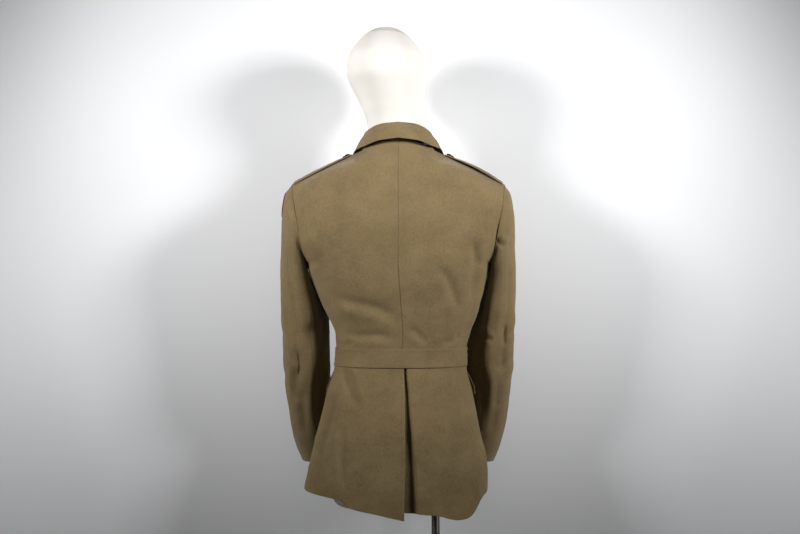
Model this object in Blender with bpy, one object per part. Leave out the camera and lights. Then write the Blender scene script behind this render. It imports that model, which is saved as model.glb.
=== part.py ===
"""Military dress tunic worn by a headed dress form on a pole and base.

Metres, +Z up. The tunic's front faces -Y, its left sleeve lies at +X, and the
origin is on the floor under the middle of the base. Every cloth piece is a
wall made from a grid of points on the garment's outer face, thickened inwards.
"""
from collections import namedtuple
import math

import bmesh
import bpy
import numpy as np

# Driving dimensions
CLOTH = 0.0018              # thickness of the wool
SEAM = 0.0003               # gap between two pieces that meet
LAY = 0.0004                # gap under a piece that lies on another one
UNDERARM_HEIGHT = 0.800
WAIST_HEIGHT = 0.624        # joint of the back and its skirts, under the half belt
FRONT_HEM = 0.333
BUTTON_STAND = 0.020        # how far each front passes the middle
BREAK_HEIGHT = 0.845        # where the lapel starts to turn
NECK_HALF_WIDTH = 0.072
NECK_BACK = (0.068, 1.045)  # depth and height of the neck seam at the middle back
NECK_SIDE = (0.015, 1.031)  # the same at the shoulder seam
RIDGE_NECK = (0.074, -0.010, 1.034)
SHOULDER_SEAM_ANGLE = 22.0  # place of the shoulder seam on the armhole, in degrees
BELT_HEIGHT = 0.036
BUTTON_RADIUS = 0.011
FRONT_BUTTONS = 4
FRONT_BUTTON_PITCH = 0.074
TOP_BUTTON = 0.838
BELT_LAY = 0.0021
FLAP_LAY = 0.0012
FLAP_TOP = 0.592
FLAP_DROP = 0.046           # height of a hip flap at its ends
FLAP_BOW = 0.010            # how much lower its edge is at its middle
FLAP_REACH = (0.36, 0.55)   # its front end and width, as places across a front
FLAP_STAND = (0.0035, 0.0080)  # how far the left and right flaps' rear corners stand off
FLAP_BUTTON = (0.635, 0.549)
LAPEL_LAY = 0.0008
STRAP_LAY = 0.0009
STRAP_ROWS = (1.006, 1.056)  # the strap's front and rear edges, as rows of a front
STRAP_END = 0.985           # its outer end, as a place across a front, and its length
STRAP_LENGTH = 0.545
STRAP_BOW = (0.0015, 0.0045)  # how far the left and right straps bow up
STRAP_BUTTON = 0.92         # the button's place along the strap
SMALL_BUTTON_RADIUS = 0.0085
BUTTON_RISE = 0.36          # height of a button's dome as a share of its radius
FRONT_LAP = 0.0030          # how far the left front stands over the right one
LAPEL_FOOT = 0.852
LAPEL_TOP = 0.987
LAPEL_WIDTH = (0.02, 0.38)  # at its foot, and how much wider it is above
BADGE_PLACE = (0.125, 4.0)  # middle of the badge: along the sleeve, and degrees round it
BADGE_SIZE = (0.050, 22.0)  # half its height and width in the same measures
BADGE_THICKNESS = 0.0012
VENT_LAP = (0.028, 0.022)   # how far the left skirt passes the middle: at the top, and more below
VENT_FOLD = (0.051, 0.092)  # where the right skirt turns in: at the top, and further below
VENT_DEPTH = 0.0050         # depth of the underlap at the top of the vent
VENT_OPENING = 0.0100       # how much deeper it lies at the hem
# The underlap's columns: how far each reaches past the fold, and its share of the depth
UNDERLAP = ((0.32, 0.90), (0.22, 1.0), (0.12, 1.0), (0.045, 1.0), (0.010, 0.5))
# The back skirts' hems: places from the vent to the side seam, and their heights
LEFT_HEM = ((0.0, 0.14, 0.33, 0.41, 0.65, 1.0), (0.322, 0.333, 0.3445, 0.358, 0.3635, 0.3660))
RIGHT_HEM = ((0.0, 0.15, 0.27, 0.34, 0.43, 0.51, 0.58, 0.64, 0.72, 0.88, 1.0),
             (0.334, 0.330, 0.3225, 0.320, 0.321, 0.327, 0.338, 0.350, 0.358, 0.3635, 0.3720))
FRONT_HEM_RISE = (0.033, 0.039)  # how much the left and right fronts' hems rise to the side
FORM_BOTTOM = 0.326
FORM_ROUNDING = 0.030
# Clearance between the tunic and the form at several heights
FORM_CLEARANCE = ((0.33, 0.056), (0.366, 0.054), (0.426, 0.040), (0.490, 0.023), (0.554, 0.0110),
                  (0.602, 0.0085), (0.666, 0.0085), (0.930, 0.0065), (1.000, 0.0016), (1.045, 0.0011))
# Rows over the shoulder, closer together than the others: of the back and of the front
SHOULDER_ROWS = ((0.950, 0.950), (0.975, 0.975), (0.992, 0.992), (1.006, 1.006), (1.018, 1.018),
                 (1.028, 1.032), (1.037, 1.045), (1.045, 1.058))
NECK_RADIUS = 0.0570
NECK_PLACE = (0.003, 0.000, 0.0)
NECK_TOP = 1.108
POLE_RADIUS = 0.008
POLE_PLACE = (-0.074, 0.020)
BASE_RADIUS = 0.180
BASE_THICKNESS = 0.009

# Horizontal sections of the body, hem to underarm. Depths are along Y.
Section = namedtuple("Section", "height half_width centre back front side")
SECTIONS = (
    Section(0.312, 0.185, 0.006, 0.136, -0.128, 0.032),
    Section(0.366, 0.181, 0.004, 0.132, -0.126, 0.032),
    Section(0.426, 0.172, 0.000, 0.126, -0.121, 0.031),
    Section(0.490, 0.158, -0.002, 0.117, -0.114, 0.028),
    Section(0.554, 0.143, -0.004, 0.104, -0.106, 0.023),
    Section(0.602, 0.1305, -0.004, 0.093, -0.099, 0.018),
    Section(0.630, 0.1285, -0.006, 0.089, -0.097, 0.015),
    Section(0.666, 0.133, -0.009, 0.091, -0.100, 0.012),
    Section(0.714, 0.153, -0.006, 0.100, -0.110, 0.007),
    Section(0.760, 0.170, -0.003, 0.108, -0.117, 0.000),
    Section(0.800, 0.181, 0.000, 0.113, -0.121, 0.000),
)
BACK_SQUARENESS = 2.15
FRONT_SQUARENESS = 1.95

# Rows above the underarm: height and depth at the middle, the place of the
# row's end on the armhole, and how round the row is, both in degrees.
Yoke = namedtuple("Yoke", "height depth armhole arc")
BACK_YOKE = (
    Yoke(0.835, 0.1165, 150.0, 82.0),
    Yoke(0.885, 0.1180, 115.0, 70.0),
    Yoke(0.945, 0.1090, 80.0, 62.0),
    Yoke(1.003, 0.0900, 48.0, 52.0),
)
FRONT_YOKE = (
    Yoke(0.835, -0.1230, -150.0, 82.0),
    Yoke(0.885, -0.1200, -112.0, 70.0),
    Yoke(0.940, -0.1060, -75.0, 60.0),
    Yoke(0.992, -0.0760, -38.0, 50.0),
)
RIDGE_ROW = 1.034           # the row along the top of the shoulder
SEAM_ROW = 1.058            # the row along the shoulder seam, behind the top

# Sections of a sleeve, armhole to cuff: its outermost and innermost point,
# its middle along Y, half its depth, how much further forward its inner side lies,
# and how much further out the right sleeve's inner side is, since the body leans right.
SleeveRow = namedtuple("SleeveRow", "outer_x outer_z inner_x inner_z middle depth lean right")
SLEEVE = (
    SleeveRow(0.2110, 0.966, 0.1810, 0.800, 0.000, 0.0620, 0.000, 0.000),
    SleeveRow(0.2250, 0.944, 0.1812, 0.790, 0.000, 0.0650, 0.002, 0.001),
    SleeveRow(0.2310, 0.895, 0.1780, 0.779, -0.001, 0.0675, 0.012, 0.002),
    SleeveRow(0.2335, 0.835, 0.1690, 0.764, -0.003, 0.0685, 0.028, 0.006),
    SleeveRow(0.2345, 0.770, 0.1540, 0.735, -0.006, 0.0680, 0.040, 0.010),
    SleeveRow(0.2345, 0.705, 0.1420, 0.695, -0.011, 0.0660, 0.044, 0.009),
    SleeveRow(0.2330, 0.645, 0.1405, 0.642, -0.019, 0.0630, 0.036, 0.000),
    SleeveRow(0.2315, 0.590, 0.1395, 0.590, -0.036, 0.0600, 0.026, -0.003),
    SleeveRow(0.2285, 0.540, 0.1380, 0.545, -0.056, 0.0575, 0.017, -0.002),
    SleeveRow(0.2225, 0.480, 0.1380, 0.488, -0.080, 0.0550, 0.009, 0.000),
    SleeveRow(0.2130, 0.435, 0.1390, 0.445, -0.097, 0.0525, 0.004, 0.000),
    SleeveRow(0.2010, 0.397, 0.1375, 0.404, -0.111, 0.0500, 0.000, 0.000),
)
HIND_SEAM = 108.0           # degrees round the sleeve from its outer side
FORE_SEAM = -100.0

# The collar's stations, middle back to front end: its fold, the lower edge of
# its fall, and the foot of its stand.
Station = namedtuple("Station", "fold edge foot")
COLLAR = (
    Station((0.000, 0.0660, 1.081), (0.000, 0.0850, 1.0485), (0.000, 0.0662, 1.0458)),
    Station((0.030, 0.0600, 1.0785), (0.037, 0.0790, 1.0440), (0.032, 0.0610, 1.0443)),
    Station((0.052, 0.0430, 1.0715), (0.065, 0.0590, 1.0350), (0.055, 0.0470, 1.0408)),
    Station((0.065, 0.0100, 1.0610), (0.0825, 0.0130, 1.0320), (0.0700, 0.0140, 1.0335)),
    Station((0.066, -0.0300, 1.040), (0.093, -0.0330, 1.0248), (0.0655, -0.0300, 1.0280)),
    Station((0.064, -0.0645, 1.006), (0.1035, -0.0628, 0.9955), (0.0610, -0.0610, 0.9990)),
)

# The head from neck to crown: height, half width, half depth, and middle in X and Y.
HeadRow = namedtuple("HeadRow", "height half_width half_depth middle_x middle_y")
HEAD = (
    HeadRow(1.1083, 0.0625, 0.0620, 0.007, 0.000),
    HeadRow(1.1300, 0.0665, 0.0760, 0.012, -0.008),
    HeadRow(1.1560, 0.0745, 0.0900, 0.017, -0.013),
    HeadRow(1.1850, 0.0800, 0.0970, 0.023, -0.012),
    HeadRow(1.2150, 0.0770, 0.0950, 0.025, -0.010),
    HeadRow(1.2420, 0.0625, 0.0800, 0.025, -0.008),
    HeadRow(1.2640, 0.0420, 0.0560, 0.025, -0.007),
    HeadRow(1.2760, 0.0190, 0.0260, 0.025, -0.006),
    HeadRow(1.2790, 0.0040, 0.0060, 0.025, -0.006),
)

OLIVE = (0.155, 0.120, 0.060)
BRASS = (0.55, 0.40, 0.16)
LINEN = (0.80, 0.76, 0.68)
STEEL = (0.45, 0.44, 0.42)
RED = (0.42, 0.05, 0.05)


def hermite(places, values, at):
    """A smooth curve through rows of values, each at its own place, with no overshoot."""
    places = np.asarray(places, float)
    values = np.asarray(values, float)
    at = np.clip(np.asarray(at, float), places[0], places[-1])
    secants = np.diff(values, axis=0) / np.diff(places).reshape((-1,) + (1,) * (values.ndim - 1))
    before, after = secants[:-1], secants[1:]
    same_way = before * after > 0.0
    total = np.where(same_way, before + after, 1.0)
    inner = np.where(same_way, 2.0 * before * after / total, 0.0)
    slopes = np.concatenate([secants[:1], inner, secants[-1:]])
    low = np.clip(np.searchsorted(places, at, side="right") - 1, 0, len(places) - 2)
    span = places[low + 1] - places[low]
    part = (at - places[low]) / span
    tail = (1,) * (values.ndim - 1)
    span = span.reshape(span.shape + tail)
    part = part.reshape(part.shape + tail)
    rise = part * part * (3.0 - 2.0 * part)
    return (values[low] * (1.0 - rise) + values[low + 1] * rise
            + slopes[low] * span * part * (1.0 - part) ** 2
            - slopes[low + 1] * span * part * part * (1.0 - part))


def armhole(angle):
    """A point of the left armhole, by degrees from its top, positive behind."""
    row = SLEEVE[0]
    turn = np.radians(angle)
    rise = 0.5 + 0.5 * np.cos(turn)
    across = row.inner_x + (row.outer_x - row.inner_x) * rise
    height = row.inner_z + (row.outer_z - row.inner_z) * rise
    return np.stack([across, row.depth * np.sin(turn), height], axis=-1)


def section_row(section, across, behind):
    """One quarter of a horizontal section; across is 0 at the middle, 1 at the side."""
    power = 2.0 / (BACK_SQUARENESS if behind else FRONT_SQUARENESS)
    turn = across * math.pi / 2.0
    reach = np.sign(turn) * np.abs(np.sin(turn)) ** power
    depth = section.back if behind else section.front
    middle = np.sign(np.cos(turn)) * np.abs(np.cos(turn)) ** power
    return np.stack([section.centre + section.half_width * reach,
                     section.side + (depth - section.side) * middle,
                     np.full_like(across, section.height)], axis=-1)


def yoke_row(row, across):
    """One row above the underarm, from the middle to the armhole."""
    end = armhole(row.armhole)
    arc = math.radians(row.arc)
    middle = (np.cos(arc * across) - math.cos(arc)) / (1.0 - math.cos(arc))
    return np.stack([end[0] * np.sin(arc * across) / math.sin(arc),
                     end[1] + (row.depth - end[1]) * middle,
                     end[2] + (row.height - end[2]) * (1.0 - across ** 2)], axis=-1)


def shoulder_row(neck, end, across):
    """A straight row from the neck to the shoulder's end, level inside the neck."""
    reach = end[0] * across
    part = np.clip((reach - neck[0]) / (end[0] - neck[0]), 0.0, 1.0)
    return np.stack([reach, neck[1] + (end[1] - neck[1]) * part,
                     neck[2] + (end[2] - neck[2]) * part], axis=-1)


def back_top_row(across):
    """The neck seam behind, and the shoulder seam."""
    neck = (NECK_HALF_WIDTH, *NECK_SIDE)
    row = shoulder_row(neck, armhole(SHOULDER_SEAM_ANGLE), across)
    round_part = np.sqrt(np.clip(1.0 - (row[:, 0] / neck[0]) ** 2, 0.0, 1.0))
    row[:, 1] += (NECK_BACK[0] - neck[1]) * round_part
    row[:, 2] += (NECK_BACK[1] - neck[2]) * round_part
    return row


def body(across, row, behind, left, neck_hole=True):
    """Points of the body's outer face for grids of across and row.

    A row is named by its height at the middle. The right half mirrors the left
    one, apart from the sections' centres.
    """
    side = 1.0 if left else -1.0
    shape = np.shape(across)
    across = np.ravel(across)
    rows = [section_row(s._replace(centre=s.centre * side), across, behind) for s in SECTIONS]
    places = [s.height for s in SECTIONS]
    for yoke in BACK_YOKE if behind else FRONT_YOKE:
        rows.append(yoke_row(yoke, across))
        places.append(yoke.height)
    seam_neck = (NECK_HALF_WIDTH, *NECK_SIDE)
    if behind:
        straight = shoulder_row(seam_neck, armhole(SHOULDER_SEAM_ANGLE), across)
        rows.append(back_top_row(across) if neck_hole else straight)
        places.append(NECK_BACK[1])
    else:
        rows.append(shoulder_row(RIDGE_NECK, armhole(0.0), across))
        rows.append(shoulder_row(seam_neck, armhole(SHOULDER_SEAM_ANGLE), across))
        places.extend((RIDGE_ROW, SEAM_ROW))
    rows = np.swapaxes(np.array(rows), 0, 1)
    heights = np.ravel(np.broadcast_to(row, shape))
    points = np.array([hermite(places, line, at) for line, at in zip(rows, heights)])
    points[:, 0] *= side
    return points.reshape(shape + (3,))


def roll_line(row):
    """Where a front ends towards the middle: its edge, and its lapel's roll above."""
    reach = np.interp(row, [s.height for s in SECTIONS], [s.half_width for s in SECTIONS])
    edge = -BUTTON_STAND / reach * (2.0 / math.pi)
    neck = NECK_HALF_WIDTH / SLEEVE[0].outer_x
    part = np.clip((row - BREAK_HEIGHT) / (RIDGE_ROW - BREAK_HEIGHT), 0.0, 1.0)
    return edge + (neck - edge) * part ** 0.9


def unit(vectors):
    """The same directions at length one."""
    return vectors / np.maximum(np.linalg.norm(vectors, axis=-1, keepdims=True), 1e-9)


def facing(surface, first, second, away):
    """Unit normals of surface(first, second), turned to the side of away(points)."""
    step = 0.002
    one = surface(first + step, second) - surface(first - step, second)
    two = surface(first, second + step) - surface(first, second - step)
    normal = unit(np.cross(one, two))
    turned_in = np.sum(normal * away(surface(first, second)), -1, keepdims=True) < 0.0
    return np.where(turned_in, -normal, normal)


def from_wearer(points):
    """Directions from the middle of the trunk, upwards above the chest."""
    above = np.clip((points[..., 2:] - 0.90) * 2.0, 0.0, 1.0)
    return points * (1.0, 1.0, 0.0) + above * (0.0, 0.0, 1.0)


def body_normal(across, row, behind, left, neck_hole=True):
    """Outward unit normals of the body's face."""
    def surface(part, height):
        return body(part, height, behind, left, neck_hole)
    return facing(surface, across, row, from_wearer)


def armhole_direction(points, normal, left):
    """Normals near the shoulder's end turned into the plane of the armhole."""
    centre = 0.5 * (armhole(0.0) + armhole(180.0)) * (1.0 if left else -1.0, 1.0, 1.0)
    part = np.clip((points[..., 2:] - 0.885) / 0.055, 0.0, 1.0)
    share = part * part * (3.0 - 2.0 * part)
    return unit(normal * (1.0 - share) + unit(points - centre) * share)


def shoulder_seam_normal(across, left):
    """The direction that both walls share along the shoulder seam."""
    back = body_normal(across, np.full_like(across, NECK_BACK[1] - 0.004), True, left)
    front = body_normal(across, np.full_like(across, SEAM_ROW - 0.004), False, left)
    return unit(back + front)


def material(name, colour, roughness, metallic=0.0):
    """A plain Principled finish."""
    finish = bpy.data.materials.new(name)
    finish.use_nodes = True
    shader = finish.node_tree.nodes["Principled BSDF"]
    shader.inputs["Base Color"].default_value = (*colour, 1.0)
    shader.inputs["Roughness"].default_value = roughness
    shader.inputs["Metallic"].default_value = metallic
    return finish


def add_object(name, mesh, finish):
    """Link a mesh under its node's name, smooth shaded."""
    piece = bpy.data.objects.new(name, mesh)
    bpy.context.scene.collection.objects.link(piece)
    mesh.shade_smooth()
    mesh.set_sharp_from_angle(angle=math.radians(40.0))
    mesh.materials.append(finish(name))
    return piece


def wool(name):
    return material(name + "_wool", OLIVE, 0.9)


def brass(name):
    return material(name + "_brass", BRASS, 0.35, 1.0)


def linen(name):
    return material(name + "_linen", LINEN, 0.85)


def steel(name):
    return material(name + "_steel", STEEL, 0.3, 1.0)


def red_felt(name):
    return material(name + "_felt", RED, 0.9)


def wall(name, outer, outwards, finish=wool):
    """A closed cloth wall: a grid of outer points and the same grid moved in."""
    inner = outer - outwards * CLOTH
    rows, columns = outer.shape[:2]
    points = np.concatenate([outer.reshape(-1, 3), inner.reshape(-1, 3)])
    index = np.arange(rows * columns).reshape(rows, columns)
    quads = np.stack([index[:-1, :-1], index[1:, :-1], index[1:, 1:], index[:-1, 1:]], -1)
    quads = quads.reshape(-1, 4)
    rim = np.concatenate([index[0, :-1], index[:-1, -1], index[-1, :0:-1], index[:0:-1, 0]])
    after = np.roll(rim, -1)
    deep = rows * columns
    edge = np.stack([rim, after, after + deep, rim + deep], -1)
    faces = np.concatenate([quads, quads[:, ::-1] + deep, edge])
    mesh = bpy.data.meshes.new(name)
    mesh.from_pydata(points.tolist(), [], faces.tolist())
    close_up(mesh)
    return add_object(name, mesh, finish)


def close_up(mesh, merge=0.00001):
    """Join doubled points and turn every face outwards."""
    shape = bmesh.new()
    shape.from_mesh(mesh)
    bmesh.ops.remove_doubles(shape, verts=shape.verts, dist=merge)
    bmesh.ops.triangulate(shape, faces=shape.faces)
    bmesh.ops.recalc_face_normals(shape, faces=shape.faces)
    shape.to_mesh(mesh)
    shape.free()


def turned(name, profile, place, sides, finish, axis=(0.0, 0.0, 1.0)):
    """A solid of revolution from (radius, height) pairs, first and last on the axis."""
    turn = np.arange(sides) * 2.0 * math.pi / sides
    radius, height = np.array(profile).T
    ring = np.stack([np.cos(turn), np.sin(turn)], -1)
    points = np.concatenate([radius[:, None, None] * ring[None],
                             np.broadcast_to(height[:, None, None], (len(profile), sides, 1))], -1)
    along = np.asarray(axis, float) / np.linalg.norm(axis)
    guide = (0.0, 1.0, 0.0) if abs(along[1]) < 0.9 else (1.0, 0.0, 0.0)
    first = np.cross(guide, along)
    first /= np.linalg.norm(first)
    frame = np.array([first, np.cross(along, first), along])
    points = points @ frame + np.asarray(place)
    index = np.arange(len(profile) * sides).reshape(len(profile), sides)
    after = np.roll(index, -1, axis=1)
    faces = np.stack([index[:-1], after[:-1], after[1:], index[1:]], -1).reshape(-1, 4)
    mesh = bpy.data.meshes.new(name)
    mesh.from_pydata(points.reshape(-1, 3).tolist(), [], faces.tolist())
    close_up(mesh)
    return add_object(name, mesh, finish)


def grid(rows, columns):
    """Two grids from 0 to 1: one down its rows, one along its columns."""
    return np.meshgrid(np.linspace(0.0, 1.0, rows), np.linspace(0.0, 1.0, columns), indexing="ij")


def panel_rows(low, spacing, behind):
    """Rows of a panel from low to the shoulder seam, shrunk by half a seam at both ends."""
    top = [pair[0 if behind else 1] for pair in SHOULDER_ROWS]
    count = int(round((top[0] - low) / spacing))
    rows = np.concatenate([np.linspace(low, top[0], count, endpoint=False), top])
    rows[0] += SEAM
    rows[-1] -= SEAM * 0.5
    return rows


def inset(part, length):
    """Shrink a 0 to 1 grid by half a seam at both ends of its real length."""
    trim = 0.5 * SEAM / length
    return trim + part * (1.0 - 2.0 * trim)


def side_name(left):
    return "left" if left else "right"


def make_back(left):
    """An upper back, from the waist to the shoulder seam."""
    rows = panel_rows(WAIST_HEIGHT, 0.036, True)
    row, across = np.meshgrid(rows, np.linspace(0.0, 1.0, 9), indexing="ij")
    part = inset(across, 0.18)
    normal = body_normal(part, row, True, left)
    normal[-1] = shoulder_seam_normal(part[-1], left)
    points = body(part, row, True, left)
    normal[:, -1] = armhole_direction(points[:, -1], normal[:, -1], left)
    wall("back_" + side_name(left), points, normal)


def skirt_hem(across, left):
    """Height of the back skirts' hem, from the vent to the side seam."""
    return hermite(*(LEFT_HEM if left else RIGHT_HEM), across)


def make_left_skirt():
    """The skirt whose edge laps over the vent."""
    down, across = grid(9, 11)
    edge = -VENT_LAP[0] - VENT_LAP[1] * down
    part = edge + (1.0 - edge) * inset(across, 0.2)
    row = WAIST_HEIGHT + inset(down, 0.3) * (skirt_hem(across, True) - WAIST_HEIGHT)
    wall("skirt_back_left", body(part, row, True, True), body_normal(part, row, True, True))


def make_right_skirt():
    """The skirt that turns in at the vent and passes under the other one."""
    down, across = grid(9, 13)
    fold = VENT_FOLD[0] + VENT_FOLD[1] * down
    part = fold + (1.0 - fold) * inset(across, 0.2)
    row = WAIST_HEIGHT + inset(down, 0.3) * (skirt_hem(across, False) - WAIST_HEIGHT)
    face = body(part, row, True, False)
    face_normal = body_normal(part, row, True, False)
    reach = np.array([reach for reach, share in UNDERLAP])
    share = np.array([share for reach, share in UNDERLAP])
    part = fold[:, :1] - reach
    row = np.repeat(row[:, :1], len(reach), axis=1)
    lap_normal = body_normal(part, row, True, False)
    depth = share * (VENT_DEPTH + VENT_OPENING * down[:, :1])
    lap = body(part, row, True, False) - lap_normal * depth[..., None]
    normal = np.concatenate([lap_normal, face_normal], axis=1)
    wall("skirt_back_right", np.concatenate([lap, face], axis=1), normal)


def make_belt():
    """The half belt, laid over the waist joint from side seam to side seam."""
    up, across = grid(3, 9)
    row = WAIST_HEIGHT + (up - 0.5) * BELT_HEIGHT
    part = across * 0.985
    halves = []
    for left in (True, False):
        normal = body_normal(part, row, True, left)
        halves.append((body(part, row, True, left) + normal * (CLOTH + BELT_LAY), normal))
    points, normal = (np.concatenate([one[:, ::-1], two[:, 1:]], axis=1) for one, two in zip(*halves))
    wall("back_belt", points, normal)


def front_face(part, row, left, lift=0.0):
    """Points and normals of a front's outer face; the left one laps over the right."""
    points = body(part, row, False, left)
    normal = body_normal(part, row, False, left)
    if left:
        near = np.clip((0.32 - part) / 0.14, 0.0, 1.0)
        below = np.clip((0.93 - row) / 0.03, 0.0, 1.0)
        lift = lift + FRONT_LAP * (near * near * (3.0 - 2.0 * near) * below)
    return points + normal * np.asarray(lift)[..., None], normal


def make_front(left):
    """A whole front: edge, chest, shoulder and skirt."""
    rows = panel_rows(FRONT_HEM, 0.036, False)
    row, across = np.meshgrid(rows, np.linspace(0.0, 1.0, 11), indexing="ij")
    up = (row - FRONT_HEM) / (SEAM_ROW - FRONT_HEM)
    start = roll_line(row)
    part = start + inset(across, 0.19) * (1.0 - start)
    rise = FRONT_HEM_RISE[0 if left else 1]
    row = row + rise * np.clip(part, 0.0, 1.0) ** 2 * np.clip(1.0 - up * 6.0, 0.0, 1.0)
    points, normal = front_face(part, row, left)
    normal[-1] = shoulder_seam_normal(part[-1], left)
    normal[:, -1] = armhole_direction(points[:, -1], normal[:, -1], left)
    wall("front_" + side_name(left), points, normal)


def make_lapel(left):
    """The turned-back part of a front, laid on it beside the roll."""
    up, out = grid(8, 5)
    row = LAPEL_FOOT + (LAPEL_TOP - LAPEL_FOOT) * up
    start = roll_line(row) + 0.004
    if not left:
        start = np.abs(start) + 0.02
    width = LAPEL_WIDTH[0] + LAPEL_WIDTH[1] * np.sin(up * math.pi * 0.5) ** 0.9 * (1.0 - 0.14 * up)
    lift = CLOTH + LAPEL_LAY + 0.0012 * np.sin(out * math.pi)
    wall("lapel_" + side_name(left),
         *front_face(start + out * width, row + 0.010 * out * up, left, lift))


def make_collar():
    """Stand and fall in one folded wall round the neck."""
    half = hermite(np.arange(len(COLLAR)), np.array([np.ravel(s) for s in COLLAR]),
                   np.linspace(0.0, len(COLLAR) - 1.0, 14))
    mirror = half[:0:-1] * np.tile((-1.0, 1.0, 1.0), 3)
    stations = np.concatenate([mirror, half])
    fold, edge, foot = stations[:, :3], stations[:, 3:6], stations[:, 6:]
    away = unit((edge - fold) * (1.0, 1.0, 0.0))
    rise = np.array((0.0, 0.0, 1.0))
    lines = [foot, foot * 0.5 + fold * 0.5 - away * 0.0006, fold - away * 0.0030 - rise * 0.0035,
             fold - away * 0.0014 - rise * 0.0006, fold + away * 0.0014 - rise * 0.0006,
             fold + away * 0.0032 - rise * 0.0040,
             fold * 0.5 + edge * 0.5 + away * 0.0022 + rise * 0.0010, edge]
    points = np.stack(lines, axis=1)
    normal = unit(np.cross(np.gradient(points, axis=0), np.gradient(points, axis=1)))
    if np.sum(normal[:, 4, 2]) < 0.0:
        normal = -normal
    wall("collar", points, normal)


def sleeve_points(along, angle, left):
    """Points of a sleeve's outer face for grids of place along it and degrees round it."""
    rows = hermite(np.linspace(0.0, 1.0, len(SLEEVE)), np.array(SLEEVE), along)
    outer_x, outer_z, inner_x, inner_z, middle, depth, lean, right = np.moveaxis(rows, -1, 0)
    if not left:
        inner_x = inner_x + right
    turn = np.radians(angle)
    mix = 0.5 + 0.5 * np.cos(turn)
    points = np.stack([inner_x + (outer_x - inner_x) * mix,
                       middle + depth * np.sin(turn) - lean * (1.0 - mix),
                       inner_z + (outer_z - inner_z) * mix], -1)
    if not left:
        points[..., 0] *= -1.0
    return points


def sleeve_normal(along, angle, left):
    """Unit normals of a sleeve's face, away from its middle line."""
    centre = 0.5 * (sleeve_points(along, np.zeros_like(angle), left)
                    + sleeve_points(along, np.full_like(angle, 180.0), left))

    def surface(place, turn):
        return sleeve_points(place, turn * 180.0, left)

    def away(points):
        return points - centre
    return facing(surface, along, angle / 180.0, away)


def make_sleeve(left):
    """Top sleeve and under sleeve, each one wall from armhole to cuff."""
    halves = (("sleeve_top_", FORE_SEAM, HIND_SEAM, 11),
              ("sleeve_under_", HIND_SEAM, 360.0 + FORE_SEAM, 9))
    for name, start, stop, columns in halves:
        down, part = grid(15, columns)
        along = 0.0016 + 0.9984 * down
        angle = start + inset(part, 0.17) * (stop - start)
        points = sleeve_points(along, angle, left)
        normal = sleeve_normal(along, angle, left)
        normal[0] = armhole_direction(points[0], normal[0], left)
        wall(name + side_name(left), points, normal)


def make_badge():
    """A plain round patch of felt on the left sleeve below the shoulder."""
    size, round_part = grid(4, 17)
    turn = round_part[:, :-1] * 2.0 * math.pi
    size = 0.02 + 0.98 * size[:, :-1]
    along = BADGE_PLACE[0] + BADGE_SIZE[0] * size * np.cos(turn)
    angle = BADGE_PLACE[1] + BADGE_SIZE[1] * size * np.sin(turn)
    normal = sleeve_normal(along, angle, True)
    points = sleeve_points(along, angle, True) + normal * (LAY + BADGE_THICKNESS)
    closed_skin("sleeve_badge", np.concatenate([points, (points - normal * BADGE_THICKNESS)[::-1]]),
                red_felt)


def closed_skin(name, rings, finish, top_is_seam=False):
    """A closed solid through rings of points, its ends filled from their middles."""
    ends = [np.broadcast_to(ring.mean(axis=0), ring.shape)[None] for ring in (rings[0], rings[-1])]
    shell = np.concatenate([ends[0], rings] + ([] if top_is_seam else [ends[1]]))
    count = shell.shape[1]
    index = np.arange(shell.shape[0] * count).reshape(shell.shape[0], count)
    after = np.roll(index, -1, axis=1)
    faces = np.stack([index[:-1], after[:-1], after[1:], index[1:]], -1).reshape(-1, 4)
    mesh = bpy.data.meshes.new(name)
    mesh.from_pydata(shell.reshape(-1, 3).tolist(), [], faces.tolist())
    close_up(mesh)
    return add_object(name, mesh, finish)


def make_shoulder_strap(left):
    """A strap along the top of the shoulder, its button near the collar."""
    along, over = grid(8, 5)
    part = STRAP_END - STRAP_LENGTH * along
    row = STRAP_ROWS[0] + (STRAP_ROWS[1] - STRAP_ROWS[0]) * over
    points, normal = front_face(part, row, left)
    bow = STRAP_BOW[0 if left else 1]
    lift = CLOTH + STRAP_LAY + bow * np.sin(along * math.pi)
    wall("shoulder_strap_" + side_name(left), points + normal * lift[..., None], normal)
    lift = CLOTH + STRAP_LAY + bow * math.sin((STRAP_BUTTON - 0.06) * math.pi) + LAY
    add_button("strap_button_" + side_name(left), STRAP_END - STRAP_LENGTH * STRAP_BUTTON, 1.029,
               left, lift, SMALL_BUTTON_RADIUS)


def add_button(name, part, row, left, lift, radius):
    """A domed button whose back lies just off the cloth at a place of a front."""
    points, normal = front_face(np.array([part]), np.array([row]), left, lift)
    rise = radius * BUTTON_RISE
    profile = ((0.0, 0.0), (radius * 0.92, 0.0), (radius, rise * 0.30), (radius * 0.80, rise * 0.72),
               (radius * 0.45, rise * 0.94), (0.0, rise))
    turned(name, profile, points[0] + normal[0] * LAY, 16, brass, normal[0])


def make_front_buttons():
    """Buttons down the lapped edge, at the middle."""
    for number in range(FRONT_BUTTONS):
        height = TOP_BUTTON - number * FRONT_BUTTON_PITCH
        add_button("front_button_%d" % (number + 1), 0.0, height, True, 0.0004, BUTTON_RADIUS)


def make_hip_flap(left):
    """A pocket flap on a front's skirt, its rear end near the side seam."""
    down, across = grid(4, 8)
    part = FLAP_REACH[0] + FLAP_REACH[1] * across
    row = FLAP_TOP - (FLAP_DROP + FLAP_BOW * np.sin(across * math.pi)) * down
    stand = FLAP_STAND[0 if left else 1]
    lift = CLOTH + FLAP_LAY + stand * down * across ** 3
    wall("hip_flap_" + side_name(left), *front_face(part, row, left, lift))
    lift = CLOTH + FLAP_LAY + stand * 0.8 * 0.5 ** 3
    add_button("hip_button_" + side_name(left), *FLAP_BUTTON, left, lift, SMALL_BUTTON_RADIUS)


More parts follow.
